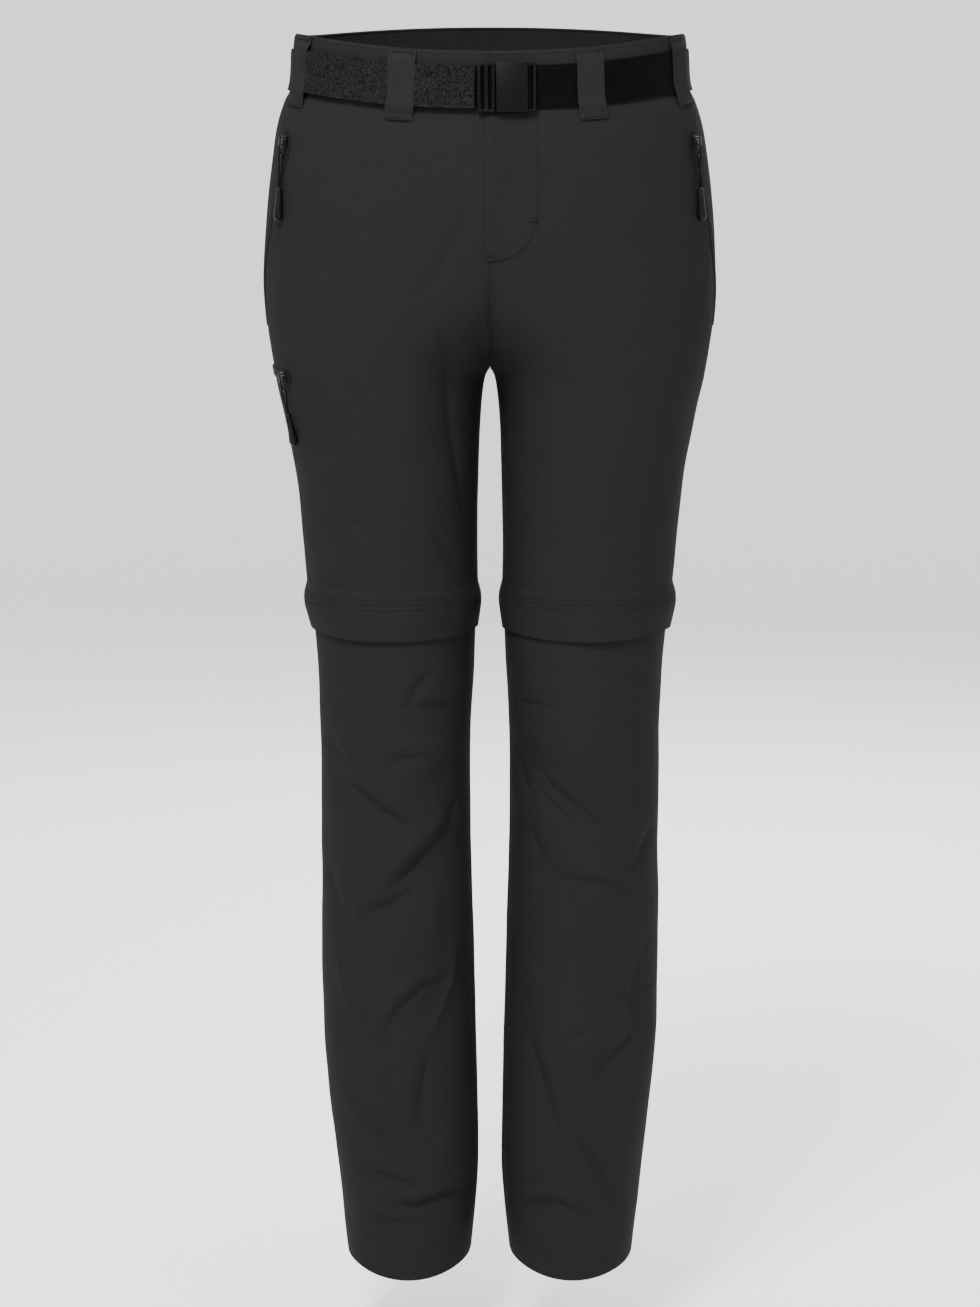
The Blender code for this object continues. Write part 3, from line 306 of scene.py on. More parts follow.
# Belt, loops and fly, as in the solids
WEBBING = 1.5
BELT_LEVEL = -1.0
BELT_TOP = 16.5
BELT_BOTTOM = -18.5
STRAP_OUT = 0.9
TAIL_OUT = 2.7
STRAP_END_LEFT = 33.0
STRAP_END_RIGHT = 2.0
TAIL_START = -12.5
TAIL_END = -158.0
BeltLoop = namedtuple("BeltLoop", "name x face doubled")
BELT_LOOPS = [BeltLoop(*row) for row in (
    ("side_right", -155, "front", True),
    ("front_right", -72, "front", True),
    ("front_left", 82, "front", False),
    ("side_left", 156, "front", False),
    ("back_left", 96, "back", False),
    ("back_middle", 0, "back", False),
    ("back_right", -96, "back", False),
)]
LOOP_WIDTH = 23.0
LOOP_TOP = 28.0
LOOP_BOTTOM = -30.0
LOOP_CLOTH = 1.4
FLY_EDGE = -3.5
FLY_WIDTH = 41.0
FLY_TOP = -23.0
FLY_TURN = -112.0
FLY_FOOT = -157.0
FLY_OUT = 1.5


def curve(rows, field, z):
    """One column of a table at the levels z, on a smooth curve through its rows."""
    levels = np.array([row.z for row in rows], dtype=float)
    values = np.array([getattr(row, field) for row in rows], dtype=float)
    last = len(rows) - 1
    order = np.arange(len(rows))
    before, after = np.maximum(order - 1, 0), np.minimum(order + 1, last)
    slopes = (values[after] - values[before]) / (levels[after] - levels[before])
    z = np.clip(np.asarray(z, dtype=float), levels[-1], levels[0])
    index = np.clip(np.searchsorted(-levels, -z, side="right") - 1, 0, last - 1)
    span = levels[index + 1] - levels[index]
    s = (z - levels[index]) / span
    rise = values[index] * (2 * s**3 - 3 * s**2 + 1) + values[index + 1] * (3 * s**2 - 2 * s**3)
    bend = slopes[index] * span * (s**3 - 2 * s**2 + s) + slopes[index + 1] * span * (s**3 - s**2)
    return rise + bend


def signed_power(value, exponent):
    return np.sign(value) * np.abs(value) ** exponent


def oval(sections, z):
    """Centre, half width, middle and half depth of the sections at z, and the exponent of their curve."""
    outer, inner = curve(sections, "outer", z), curve(sections, "inner", z)
    front, back = curve(sections, "front", z), curve(sections, "back", z)
    power = 2 / curve(sections, "squareness", z)
    return (outer + inner) / 2, (outer - inner) / 2, (front + back) / 2, (back - front) / 2, power


def smooth_form(sections, angle, z):
    """Points of the cloth before folds, on the wearer's left, with their level tilted as worn."""
    centre, half_width, middle, half_depth, power = oval(sections, z)
    sine, cosine = np.sin(angle), np.cos(angle)
    x = centre + half_width * signed_power(cosine, power)
    y = middle - half_depth * signed_power(sine, power)
    drop = np.where(sine > 0, curve(TILTS, "front_drop", z), -curve(TILTS, "back_rise", z))
    return np.stack((x, y, z - drop * sine**2), axis=-1)


def outward(points, forward):
    """Normals of a grid of points whose rows go down and whose columns go round."""
    down, around = np.gradient(points, axis=0), np.gradient(points, axis=1)
    return unit(np.cross(around, down) * forward)


def beside_line(x, z, x0, z0, x1, z1):
    """Share along a line, distance from it, and the side of it as 1 above and -1 below."""
    along_x, along_z = x1 - x0, z1 - z0
    share = ((x - x0) * along_x + (z - z0) * along_z) / (along_x**2 + along_z**2)
    share = np.clip(share, 0.0, 1.0)
    off_x, off_z = x - x0 - share * along_x, z - z0 - share * along_z
    turned = along_x * off_z - along_z * off_x
    upper_side = 1.0 if along_x > 0 or (along_x == 0 and along_z > 0) else -1.0
    return share, np.hypot(off_x, off_z), np.sign(turned) * upper_side


def bell(away, width):
    """One at the middle, falling softly away from it over the width."""
    return np.exp(-((away / width) ** 2))


def fold_depth(leg, face, x, z):
    """How far the solids' folds press the cloth in."""
    depth = np.zeros_like(x)
    for fold in FOLDS:
        if fold.leg != leg or fold.face != face:
            continue
        share, away, _ = beside_line(x, z, fold.x0, fold.z0, fold.x1, fold.z1)
        taper = FOLD_END_SHARE + (1 - FOLD_END_SHARE) * np.sin(math.pi * share)
        depth += fold.depth * taper * bell(away, fold.width)
    return depth


def from_view(px, py):
    """The place (x, z) on the front that shows at a point of the view."""
    forward = (0.0, math.cos(VIEW_TILT), -math.sin(VIEW_TILT))
    up = (0.0, math.sin(VIEW_TILT), math.cos(VIEW_TILT))
    over, rise = px - VIEW_MIDDLE[0], VIEW_MIDDLE[1] - py
    ray = (over, forward[1] * VIEW_FOCAL + up[1] * rise, forward[2] * VIEW_FOCAL + up[2] * rise)
    y, x, z = -90.0, 0.0, 0.0
    for _ in range(4):
        reach = (y + CAMERA_BACK) / ray[1]
        x, z = ray[0] * reach, CAMERA_LEVEL + ray[2] * reach
        sections = UPPER if z > UPPER_END else LOWER
        centre, half_width, middle, half_depth, _ = oval(sections, z)
        side = min(abs((abs(x) - max(centre, 0.0)) / half_width), 0.97)
        y = float(middle - half_depth * math.sqrt(1 - side**2))
    return x, z


def leg_creases():
    """Every crease as (leg, face, crease, its points with a positive x)."""
    found = []
    for crease in FRONT_CREASES:
        points = [from_view(px, py) for px, py in crease.points]
        found.append(("front", crease, points))
    for crease in BACK_CREASES:
        found.append(("back", crease, list(crease.points)))
    table = []
    for face, crease, points in found:
        leg = "left" if sum(x for x, _ in points) > 0 else "right"
        table.append((leg, face, crease, [(abs(x), z) for x, z in points]))
    return table


CREASES = leg_creases()


def crease_depth(leg, face, x, z):
    """How far the creases press the cloth in: a narrow trough, and a ridge along its upper side."""
    depth = np.zeros_like(x)
    for crease_leg, crease_face, crease, points in CREASES:
        if crease_leg != leg or crease_face != face:
            continue
        lengths = [math.dist(a, b) for a, b in zip(points, points[1:])]
        whole, passed = sum(lengths), 0.0
        nearest = np.full_like(x, 1e6)
        along, side = np.zeros_like(x), np.zeros_like(x)
        for (a, b), length in zip(zip(points, points[1:]), lengths):
            share, away, upper = beside_line(x, z, *a, *b)
            closer = away < nearest
            nearest = np.where(closer, away, nearest)
            along = np.where(closer, (passed + share * length) / whole, along)
            side = np.where(closer, upper, side)
            passed += length
        taper = np.sin(math.pi * np.clip(along, 0.0, 1.0)) ** 0.7
        soft = np.sqrt(nearest**2 + CREASE_SOFTNESS**2) - CREASE_SOFTNESS
        trough = np.exp(-soft / crease.width * 1.5) * bell(nearest, 2.2 * crease.width)
        trough = trough + CREASE_LINE * bell(nearest, CREASE_LINE_WIDTH)
        offset = side * nearest - LIP_OFFSET * crease.width
        ridge = bell(offset, crease.width)
        depth += crease.depth * taper * (trough - crease.lip * ridge)
    return depth * (BACK_SHARE if face == "back" else 1.0)


def unevenness(leg, x, y, z):
    """The cloth's slow waves, which fade towards the middle of the body."""
    height = np.zeros_like(x)
    across = x + 0.7 * y + (80.0 if leg == "right" else 0.0)
    for wave in WAVES:
        height += wave.height * np.sin(wave.along_x * across + wave.along_z * z + wave.shift)
    return height * np.clip(x / 25.0, 0.0, 1.0)


def press_depth(leg, points, sine):
    """How far all folds, creases and waves press the cloth in at its points before folds."""
    x, y, z = points[..., 0], points[..., 1], points[..., 2]
    in_front = sine > 0
    depth = np.where(in_front, fold_depth(leg, "front", x, z), fold_depth(leg, "back", x, z))
    creases = np.where(in_front, crease_depth(leg, "front", x, z), crease_depth(leg, "back", x, z))
    depth = (depth + CREASE_SHARE * creases) * np.minimum(1.0, SIDE_FADE * np.abs(sine))
    return depth - unevenness(leg, x, y, z)


def pressed(points, leg, sine, forward):
    """A grid of points with its folds, creases and unevenness, and its normals."""
    depth = press_depth(leg, points, sine)
    moved = points - outward(points, forward) * depth[..., None]
    return moved, outward(moved, forward)


def unit(vectors):
    return vectors / np.maximum(np.linalg.norm(vectors, axis=-1, keepdims=True), 1e-9)


def step_lengths(points, axis):
    return np.linalg.norm(np.diff(points, axis=axis), axis=-1)


def crossed(place, across, level, across_step, level_step):
    """Normals of a surface, whose points place gives, from the points a step to each side."""
    over = place(across + across_step, level) - place(across - across_step, level)
    down = place(across, level - level_step) - place(across, level + level_step)
    return unit(np.cross(over, down))


def surface(sections, leg, angle, z, out=0.0):
    """Points on the finished cloth at any angles and levels, moved out, and their normals."""
    def smooth(a, level):
        return smooth_form(sections, a, level)

    def folded(a, level):
        base = smooth(a, level)
        normals = crossed(smooth, a, level, ANGLE_STEP, FINE_LEVEL_STEP)
        return base - normals * press_depth(leg, base, np.sin(a))[..., None]

    angle, z = np.broadcast_arrays(np.asarray(angle, dtype=float), np.asarray(z, dtype=float))
    normals = crossed(folded, angle, z, ANGLE_STEP, FINE_LEVEL_STEP)
    points = folded(angle, z) + normals * np.asarray(out)[..., None]
    return to_side(leg, points), to_side(leg, normals)


def inner_angle(sections, z):
    """The angle at which a section meets the centre seam, or its inseam where the legs are apart."""
    centre, half_width, _, _, power = oval(sections, z)
    meets = np.clip(np.maximum(centre, 0.0) / half_width, 0.0, 1.0) ** (1 / power)
    apart = (centre >= half_width) | (z <= CROTCH)
    return np.where(apart, np.radians(curve(SEAM_ANGLES, "inner", z)), np.arccos(-meets))


def panel_angles(sections, face, z, share):
    """Angles at shares of the way from the side seam to the inner seam, for each level."""
    z, share = z[:, None], share[None, :]
    start, end = np.radians(curve(SEAM_ANGLES, "side", z)), inner_angle(sections, z)
    follow = (SPREAD_START - z) / (SPREAD_START - SPREAD_END)
    first = inner_angle(sections, np.array(SPREAD_START))
    eased = math.pi - (math.pi - first) * (1 - np.clip(follow, 0.0, 1.0)) ** 3
    near_crotch = (z < SPREAD_START) & (z > SPREAD_END)
    spread = np.where(near_crotch, eased, end)
    if face == "back":
        below = z <= CROTCH
        end = np.where(below, end - 2 * math.pi, -end)
        spread = np.where(near_crotch, -spread, end)
    bend = (SOLID_COLUMNS - 1) / SOLID_COLUMNS
    inside = start + (spread - start) * np.minimum(share, bend)
    last = (end - start - (spread - start) * bend) * np.maximum(share - bend, 0.0) / (1 - bend)
    return inside + last


def levels_between(stops, step):
    """Levels from the first stop to the last that take in every stop."""
    levels = []
    for high, low in zip(stops, stops[1:]):
        count = max(1, round(abs(high - low) / step))
        levels += [high + (low - high) * i / count for i in range(count)]
    return np.array(levels + [stops[-1]])


def deselect():
    bpy.ops.object.select_all(action="DESELECT")


def activate(item):
    deselect()
    item.select_set(True)
    bpy.context.view_layer.objects.active = item


def merge_points(distance):
    bpy.ops.object.mode_set(mode="EDIT")
    bpy.ops.mesh.select_all(action="SELECT")
    bpy.ops.mesh.remove_doubles(threshold=distance)
    bpy.ops.object.mode_set(mode="OBJECT")


def apply_modifiers(item):
    bpy.context.view_layer.objects.active = item
    for modifier in list(item.modifiers):
        bpy.ops.object.modifier_apply(modifier=modifier.name)


def add_cloth(name, points, material, thickness, flip=False, ring=False):
    """A grid laid over rows and columns of points, outer face first, then given its thickness inwards."""
    rows, columns = points.shape[0] - 1, points.shape[1] - 1
    deselect()
    bpy.ops.mesh.primitive_grid_add(x_subdivisions=columns, y_subdivisions=rows, size=1.0, calc_uvs=True)
    item = bpy.context.object
    item.name = name
    mesh = item.data
    mesh.name = name
    flat = np.empty(len(mesh.vertices) * 3, dtype=np.float32)
    mesh.vertices.foreach_get("co", flat)
    flat = flat.reshape(-1, 3)
    column = np.rint((flat[:, 0] + 0.5) * columns).astype(int)
    row = np.rint((0.5 - flat[:, 1]) * rows).astype(int)
    mesh.vertices.foreach_set("co", (points[row, column] * MM).astype(np.float32).ravel())
    width = step_lengths(points, 1).sum(axis=1).mean() * MM
    length = step_lengths(points, 0).sum(axis=0).mean() * MM
    uv_layer = mesh.uv_layers.active.data
    uvs = np.empty(len(uv_layer) * 2, dtype=np.float32)
    uv_layer.foreach_get("uv", uvs)
    uvs = uvs.reshape(-1, 2) * (width, length)
    uv_layer.foreach_set("uv", uvs.astype(np.float32).ravel())
    mesh.update()
    if flip:
        mesh.flip_normals()
    mesh.materials.clear()
    mesh.materials.append(material)
    if ring:
        merge_points(0.00002)
    shell = item.modifiers.new("wall", "SOLIDIFY")
    shell.thickness = thickness * MM
    shell.offset = -1.0
    shell.use_even_offset = True
    apply_modifiers(item)
    bpy.ops.object.shade_smooth_by_angle(angle=SMOOTH_ANGLE)
    return item, width, length


def to_side(leg, points):
    """Mirror points to the wearer's right where the leg is the right one."""
    return points if leg == "left" else points * np.array((-1.0, 1.0, 1.0))


def panel_grid(sections, leg, face, stops, columns):
    """Outer points of one panel with folds, creases and the dip of its seams."""
    z = levels_between(stops, GRID_STEP)
    share = np.linspace(0.0, 1.0, columns + 1)
    angle = panel_angles(sections, face, z, share)
    level = np.broadcast_to(z[:, None], angle.shape)
    forward = 1.0 if face == "front" else -1.0
    base = smooth_form(sections, angle, level)
    points, normals = pressed(base, leg, np.sin(angle), forward)
    steps = step_lengths(points, 1)
    from_side = np.concatenate((np.zeros((len(z), 1)), np.cumsum(steps, axis=1)), axis=1)
    from_inner = from_side[:, -1:] - from_side
    dip = bell(from_side, SEAM_DIP_WIDTH) + bell(from_inner, SEAM_DIP_WIDTH)
    points = points - normals * (SEAM_DIP * dip)[..., None]
    around = unit(np.gradient(points, axis=1))
    points[:, 0] += around[:, 0] * HALF_GAP
    points[:, -1] -= around[:, -1] * HALF_GAP
    above = z >= CROTCH
    points[above, -1, 0] = HALF_GAP
    points[..., 0] = np.maximum(points[..., 0], HALF_GAP)
    side_lap = np.full(len(z), LAP if face == "front" else 0.2)
    inner_lap = np.where(above, LAP if leg == "left" else 0.2, LAP if face == "front" else 0.2)
    first = points[:, 0] - normals[:, 0] * LAP_DEPTH
    last = points[:, -1] - normals[:, -1] * LAP_DEPTH
    under = [first - around[:, 0] * side_lap[:, None], first]
    saddle = np.clip((SADDLE_START - z) / SADDLE_LENGTH, 0.0, 1.0) * (above & (leg == "left"))
    across = around[:, -1] * (1 - saddle)[:, None] + np.array(SADDLE_LAP) * saddle[:, None]
    beyond = [last, last + across * inner_lap[:, None]]
    return np.concatenate([column[:, None] for column in under] + [points]
                          + [column[:, None] for column in beyond], axis=1)


def sew_on(name, node, grid, material, thickness, slot="cloth", **shape):
    """Makes a cloth piece in the place of a solid and hides the solid."""
    item, width, length = add_cloth(name, grid, material, thickness, **shape)
    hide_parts(node)
    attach(item, "root")


def new_material(name, colour, roughness, shine):
    material = bpy.data.materials.new(name)
    material.use_nodes = True
    shader = material.node_tree.nodes["Principled BSDF"]
    shader.inputs["Base Color"].default_value = (*colour, 1.0)
    shader.inputs["Roughness"].default_value = roughness
    shader.inputs["Specular IOR Level"].default_value = shine
    return material, material.node_tree.nodes, material.node_tree.links, shader


def woven_material(name, colour, weave):
    """Cloth or webbing whose noise mixes a dark and a light tone and gives the surface its grain."""
    _, nodes, links, shader = new_material(name, colour, weave.roughness, WEAVE_SHINE)
    texture = nodes.new("ShaderNodeTexCoord")
    noise = nodes.new("ShaderNodeTexNoise")
    noise.inputs["Scale"].default_value = weave.scale
    noise.inputs["Detail"].default_value = 3.0
    ramp = nodes.new("ShaderNodeValToRGB")
    shares = (1 - weave.spread, 1 + weave.spread)
    for point, position, share in zip(ramp.color_ramp.elements, (0.32, 0.68), shares):
        point.position = position
        point.color = (*[c * share for c in colour], 1.0)
    height = nodes.new("ShaderNodeBump")
    height.inputs["Strength"].default_value = weave.bump
    height.inputs["Distance"].default_value = weave.distance
    links.new(texture.outputs["Object"], noise.inputs["Vector"])
    links.new(noise.outputs["Fac"], ramp.inputs["Fac"])
    links.new(ramp.outputs["Color"], shader.inputs["Base Color"])
    links.new(noise.outputs["Fac"], height.inputs["Height"])
    links.new(height.outputs["Normal"], shader.inputs["Normal"])


class TrousersSettings(bpy.types.PropertyGroup):
    cloth_colour: bpy.props.FloatVectorProperty(
        name="Cloth colour", description="Colour of the panels", subtype="COLOR", size=3,
        default=(0.0105, 0.0105, 0.0117), min=0.0, max=1.0)
    belt_colour: bpy.props.FloatVectorProperty(
        name="Belt colour", description="Colour of the smooth webbing", subtype="COLOR", size=3,
        default=(0.0012, 0.0012, 0.0013), min=0.0, max=1.0)
    light_strength: bpy.props.FloatProperty(
        name="Light", description="How bright the soft lights are, as a share", default=1.0, min=0.1, max=5.0)


# Colours that don't follow the settings
OWN_COLOURS = {
    "braid": (0.004, 0.004, 0.0045),
    "buckle": (0.0011, 0.0011, 0.0012),
    "fittings": (0.003, 0.003, 0.0032),
}
WEAVE_SHINE = 0.03
Weave = namedtuple("Weave", "base share spread scale bump distance roughness")
WEAVES = {
    "trousers cloth": Weave("cloth", 1.0, 0.1, 700.0, 0.25, 0.0004, 0.8),
    "trousers loop cloth": Weave("cloth", 1.06, 0.1, 700.0, 0.25, 0.0004, 0.8),
    "trousers zip tape": Weave("cloth", 0.8, 0.2, 900.0, 0.4, 0.0008, 0.7),
    "belt webbing": Weave("belt", 1.0, 0.35, 900.0, 0.5, 0.0008, 0.6),
    # The belt tail's speckled grain is the pile's own. Its grey, about six times the strap's tone, is painted
    # light where the tail faces the key lamp.
    "belt loop pile": Weave("belt", 6.2, 0.85, 560.0, 1.0, 0.0008, 0.9),
    "pull braid": Weave("braid", 1.0, 0.3, 1200.0, 0.5, 0.0008, 0.7),
}
Finish = namedtuple("Finish", "base share roughness shine")
FINISHES = {
    # The stitches are real. The sewing thread's tone, half the cloth's, is painted shade for the dips along
    # the stitch rows.
    "sewing thread": Finish("cloth", 0.5, 0.6, 0.03),
    # The bartack thread is a little lighter than the cloth: a painted highlight on the raised bartacks.
    "bartack thread": Finish("cloth", 1.15, 0.6, 0.05),
    "buckle plastic": Finish("buckle", 1.0, 0.42, 0.09),
    "pull rubber": Finish("fittings", 1.0, 0.4, 0.1),
    "painted zip metal": Finish("fittings", 1.0, 0.35, 0.15),
}


def materials():
    """The materials of the dress, made once and found again by name."""
    settings = bpy.context.scene.trousers
    if "trousers cloth" not in bpy.data.materials:
        base = {"cloth": settings.cloth_colour, "belt": settings.belt_colour, **OWN_COLOURS}
        for name, weave in WEAVES.items():
            woven_material(name, [c * weave.share for c in base[weave.base]], weave)
        for name, finish in FINISHES.items():
            colour = [c * finish.share for c in base[finish.base]]
            new_material(name, colour, finish.roughness, finish.shine)
    return bpy.data.materials


PANEL_STOPS = {
    "upper": [WAIST_SEAM - HALF_GAP, -48.0, SPREAD_START, CROTCH, SPREAD_END, UPPER_END + HALF_GAP],
    "lower": [LOWER_START - HALF_GAP, -560.0, HEM],
}
PANEL_COLUMNS = {"upper": 92, "lower": 84}


class TrousersPanels(bpy.types.Operator):
    """Lay the eight large cloth panels of the legs"""
    bl_idname = "trousers.panels"
    bl_label = "Leg panels"

    def execute(self, context):
        cloth = materials()["trousers cloth"]
        for leg in ("left", "right"):
            for face in ("front", "back"):
                for part, sections in (("upper", UPPER), ("lower", LOWER)):
                    grid = panel_grid(sections, leg, face, PANEL_STOPS[part], PANEL_COLUMNS[part])
                    grid = to_side(leg, grid)
                    flip = (leg == "left") == (face == "front")
                    node = f"{part}_{face}_{leg}"
                    sew_on(f"cloth_{node}", node, grid, cloth, SHELL, flip=flip)
        return {"FINISHED"}


def waist_angles(x, face):
    """Angles of the waist's full oval, as seen from the wearer's left, at places in X."""
    centre, half_width, _, _, power = oval(UPPER, BELT_LEVEL)
    angle = np.arccos(np.clip(signed_power((np.asarray(x) - centre) / half_width, 1 / power), -1.0, 1.0))
    return angle if face == "front" else -angle


def waist_surface(angle, z, out):
    """Points round the waist's oval at angles (columns) and levels (rows), moved out from the cloth."""
    angle_grid = np.broadcast_to(angle[None, :], (len(z), len(angle)))
    level = np.broadcast_to(np.asarray(z, dtype=float)[:, None], angle_grid.shape)

    def place(a, level):
        return smooth_form(UPPER, a, level)

    normals = crossed(place, angle_grid, level, ANGLE_STEP, LEVEL_STEP)
    return place(angle_grid, level) + normals * np.asarray(out)[..., None], normals


RIB_HEIGHT = 0.35
RIB_SPACING = 3.4
BAND_COLUMNS = 120
BACK_BAND_COLUMNS = 460


class TrousersWaistband(bpy.types.Operator):
    """Sew on the waistband, whose back half is ribbed by the elastic inside"""
    bl_idname = "trousers.waistband"
    bl_label = "Waistband"

    def execute(self, context):
        cloth = materials()["trousers cloth"]
        z = np.concatenate((np.linspace(WAIST_TOP, WAIST_TOP - 3, 4), np.linspace(24, -6, 13),
                            [-7.5, WAIST_SEAM + HALF_GAP]))
        round_top = -0.9 * bell(WAIST_TOP - z, 1.2) - 0.5 * bell(z - WAIST_SEAM, 1.5)
        side = math.radians(10)
        for leg in ("left", "right"):
            start = side + 0.001
            end = math.pi / 2 - HALF_GAP / 165
            angle = np.linspace(start, end, BAND_COLUMNS + 1)
            out = WAISTBAND_PROUD + round_top[:, None] * np.ones_like(angle)[None, :]
            grid, _ = waist_surface(angle, z, out)
            node = f"waistband_front_{leg}"
            sew_on(f"cloth_{node}", node, to_side(leg, grid), cloth, BAND_SHELL, flip=leg == "left")
        angle = np.linspace(side - 0.001, -math.pi - side + 0.001, BACK_BAND_COLUMNS + 1)
        out = WAISTBAND_PROUD + round_top[:, None] * np.ones_like(angle)[None, :]
        grid, normals = waist_surface(angle, z, out)
        arc = np.concatenate(([0.0], np.cumsum(step_lengths(grid[6], 0))))
        middle = arc[-1] / 2
        stretch = np.exp(-((arc - middle) / 150.0) ** 8)
        rib = RIB_HEIGHT * np.sin(2 * math.pi * arc / RIB_SPACING + np.sin(arc / 9.0)) * stretch
        fade = np.clip((WAIST_TOP - 1.5 - z) / 4.0, 0.0, 1.0)
        grid = grid + normals * (0.5 * rib[None, :] * fade[:, None])[..., None]
        sew_on("cloth_waistband_back", "waistband_back", grid, cloth, BAND_SHELL)
        return {"FINISHED"}


def leg_ring_grid(sections, leg, z, columns):
    """Points all round one leg, the last column on the first, and their normals."""
    angle = np.broadcast_to(np.linspace(0.0, 2 * math.pi, columns + 1)[None, :], (len(z), columns + 1))
    level = np.broadcast_to(z[:, None], angle.shape)
    base = smooth_form(sections, angle, level)
    points, normals = pressed(base, leg, np.sin(angle), 1.0)
    points[:, -1], normals[:, -1] = points[:, 0], normals[:, 0]
    return points, normals


FLAP_STITCHES = (-444.0, -447.5, -451.5)
FLAP_HANG_FRONT = 6.0
FLAP_HANG_BACK = 3.0


class TrousersKneeFlaps(bpy.types.Operator):
    """Sew the flap over each zip-off zip, with its soft lower edge"""
    bl_idname = "trousers.knee_flaps"
    bl_label = "Knee flaps"

    def execute(self, context):
        cloth = materials()["trousers cloth"]
        for leg, phase in (("left", 0.6), ("right", 2.1)):
            z = np.linspace(FLAP_TOP, FLAP_BOTTOM, 41)
            points, normals = leg_ring_grid(FLAP, leg, z, 200)
            angle = np.linspace(0.0, 2 * math.pi, 201)[None, :]
            down = ((FLAP_TOP - z) / (FLAP_TOP - FLAP_BOTTOM))[:, None]
            ripple = 0.5 * np.sin(5 * angle + phase) + 0.35 * np.sin(9 * angle + 2 * phase)
            merged = -2.0 * bell(down * (FLAP_TOP - FLAP_BOTTOM), 9.0)
            stitched = sum(-0.4 * bell(z[:, None] - row, 0.9) for row in FLAP_STITCHES)
            out = ripple * down**2 + stitched + merged
            points = points + normals * out[..., None]
            points[..., 2] += flap_level(angle, z[:, None]) - z[:, None]
            node = f"knee_flap_{leg}"
            sew_on(f"cloth_{node}", node, to_side(leg, points), cloth, LAP_SHELL,
                   flip=leg == "left", ring=True)
        return {"FINISHED"}


def flap_level(angle, z):
    """The level of the flap's points, which hang lower towards the front and the back."""
    hang = np.clip((FLAP_TOP - z) / (FLAP_TOP - FLAP_BOTTOM), 0.0, 1.0) ** 0.7
    front = np.sin(angle) > 0
    return z - hang * np.where(front, FLAP_HANG_FRONT, FLAP_HANG_BACK) * np.sin(angle) ** 2


def front_surface(x, z, out=0.0):
    """Points of the front of the trousers at places (x, z) before the tilt, with their normals."""
    def place(x_value, z_value):
        reach = np.abs(x_value)
        centre, half_width, _, _, power = oval(UPPER, z_value)
        cosine = signed_power(np.clip((reach - centre) / half_width, -1.0, 1.0), 1 / power)
        angle = np.arccos(cosine)
        points = smooth_form(UPPER, angle, z_value)
        where = (points[..., 0], points[..., 2])
        left, right = (fold_depth(leg, "front", *where) + crease_depth(leg, "front", *where)
                       for leg in ("left", "right"))
        blend = np.clip((x_value + 6.0) / 12.0, 0.0, 1.0)
        points[..., 0] = np.copysign(points[..., 0], x_value)
        points[..., 1] += left * blend + right * (1 - blend)
        return points

    normals = crossed(place, x, z, -LEVEL_STEP, LEVEL_STEP)
    return place(x, z) + normals * np.asarray(out)[..., None], normals


def fly_reach(z):
    """The fly's width at levels z, which turns in at its foot in a quarter of an ellipse."""
    share = np.clip((FLY_TURN - z) / (FLY_TURN - FLY_FOOT), 0.0, 1.0)
    return FLY_WIDTH * np.sqrt(np.maximum(1 - share**2, 0.0)) + 1.0


class TrousersFly(bpy.types.Operator):
    """Lay the fly lap over the front's middle"""
    bl_idname = "trousers.fly"
    bl_label = "Fly"

    def execute(self, context):
        z = np.concatenate((np.linspace(FLY_TOP, FLY_TURN, 45), np.linspace(FLY_TURN - 1.5, FLY_FOOT, 30)))
        share = np.linspace(0.0, 1.0, 31)[None, :]
        reach = fly_reach(z)[:, None]
        x = FLY_EDGE + (reach - FLY_EDGE) * share
        level = np.broadcast_to(z[:, None], x.shape)
        edge = bell(x - FLY_EDGE, 1.4)
        out = 0.55 + (FLY_OUT - 0.55) * bell(x - FLY_EDGE - 3.0, 12.0) - 0.7 * edge
        out = out - 0.45 * bell(reach - x, 1.3)
        grid, _ = front_surface(x, level, out)
        sew_on("cloth_fly_lap", "fly_lap", grid, materials()["trousers cloth"], LAP_SHELL)
        return {"FINISHED"}


def band_grid(start, end, top, bottom, out, step=2.5):
    """A strip round the waist between two angles and two levels."""
    count = max(8, round(abs(end - start) * 150 / step))
    angle = np.linspace(start, end, count + 1)
    z = np.linspace(top, bottom, 13)
    edge = np.minimum(z - bottom, top - z)
    soft = -0.35 * bell(edge, 0.9)
    spread = np.asarray(out) + soft[:, None] * np.ones_like(angle)[None, :]
    return waist_surface(angle, z, spread)


class TrousersBelt(bpy.types.Operator):
    """Thread the belt: smooth webbing all round and its tail faced with soft loop pile, whose lighter grey is
    painted light from the lamp on that side
    """
    bl_idname = "trousers.belt"
    bl_label = "Belt"

    def execute(self, context):
        found = materials()
        start = float(waist_angles(STRAP_END_LEFT, "front"))
        end = float(waist_angles(STRAP_END_RIGHT, "front")) - 2 * math.pi
        grid, _ = band_grid(start, end, BELT_TOP, BELT_BOTTOM, STRAP_OUT + WEBBING)
        sew_on("webbing_strap", "belt_strap", grid, found["belt webbing"], WEBBING - 0.2, slot="webbing")
        start = float(waist_angles(TAIL_END, "front")) - 2 * math.pi
        end = float(waist_angles(TAIL_START, "front")) - 2 * math.pi
        grid, _ = band_grid(start, end, BELT_TOP, BELT_BOTTOM, TAIL_OUT + WEBBING)
        # The tail's lighter grey is painted light on the side that faces the key lamp.
        sew_on("webbing_tail", "belt_tail", grid, found["belt loop pile"], WEBBING, slot="webbing", flip=True)
        return {"FINISHED"}


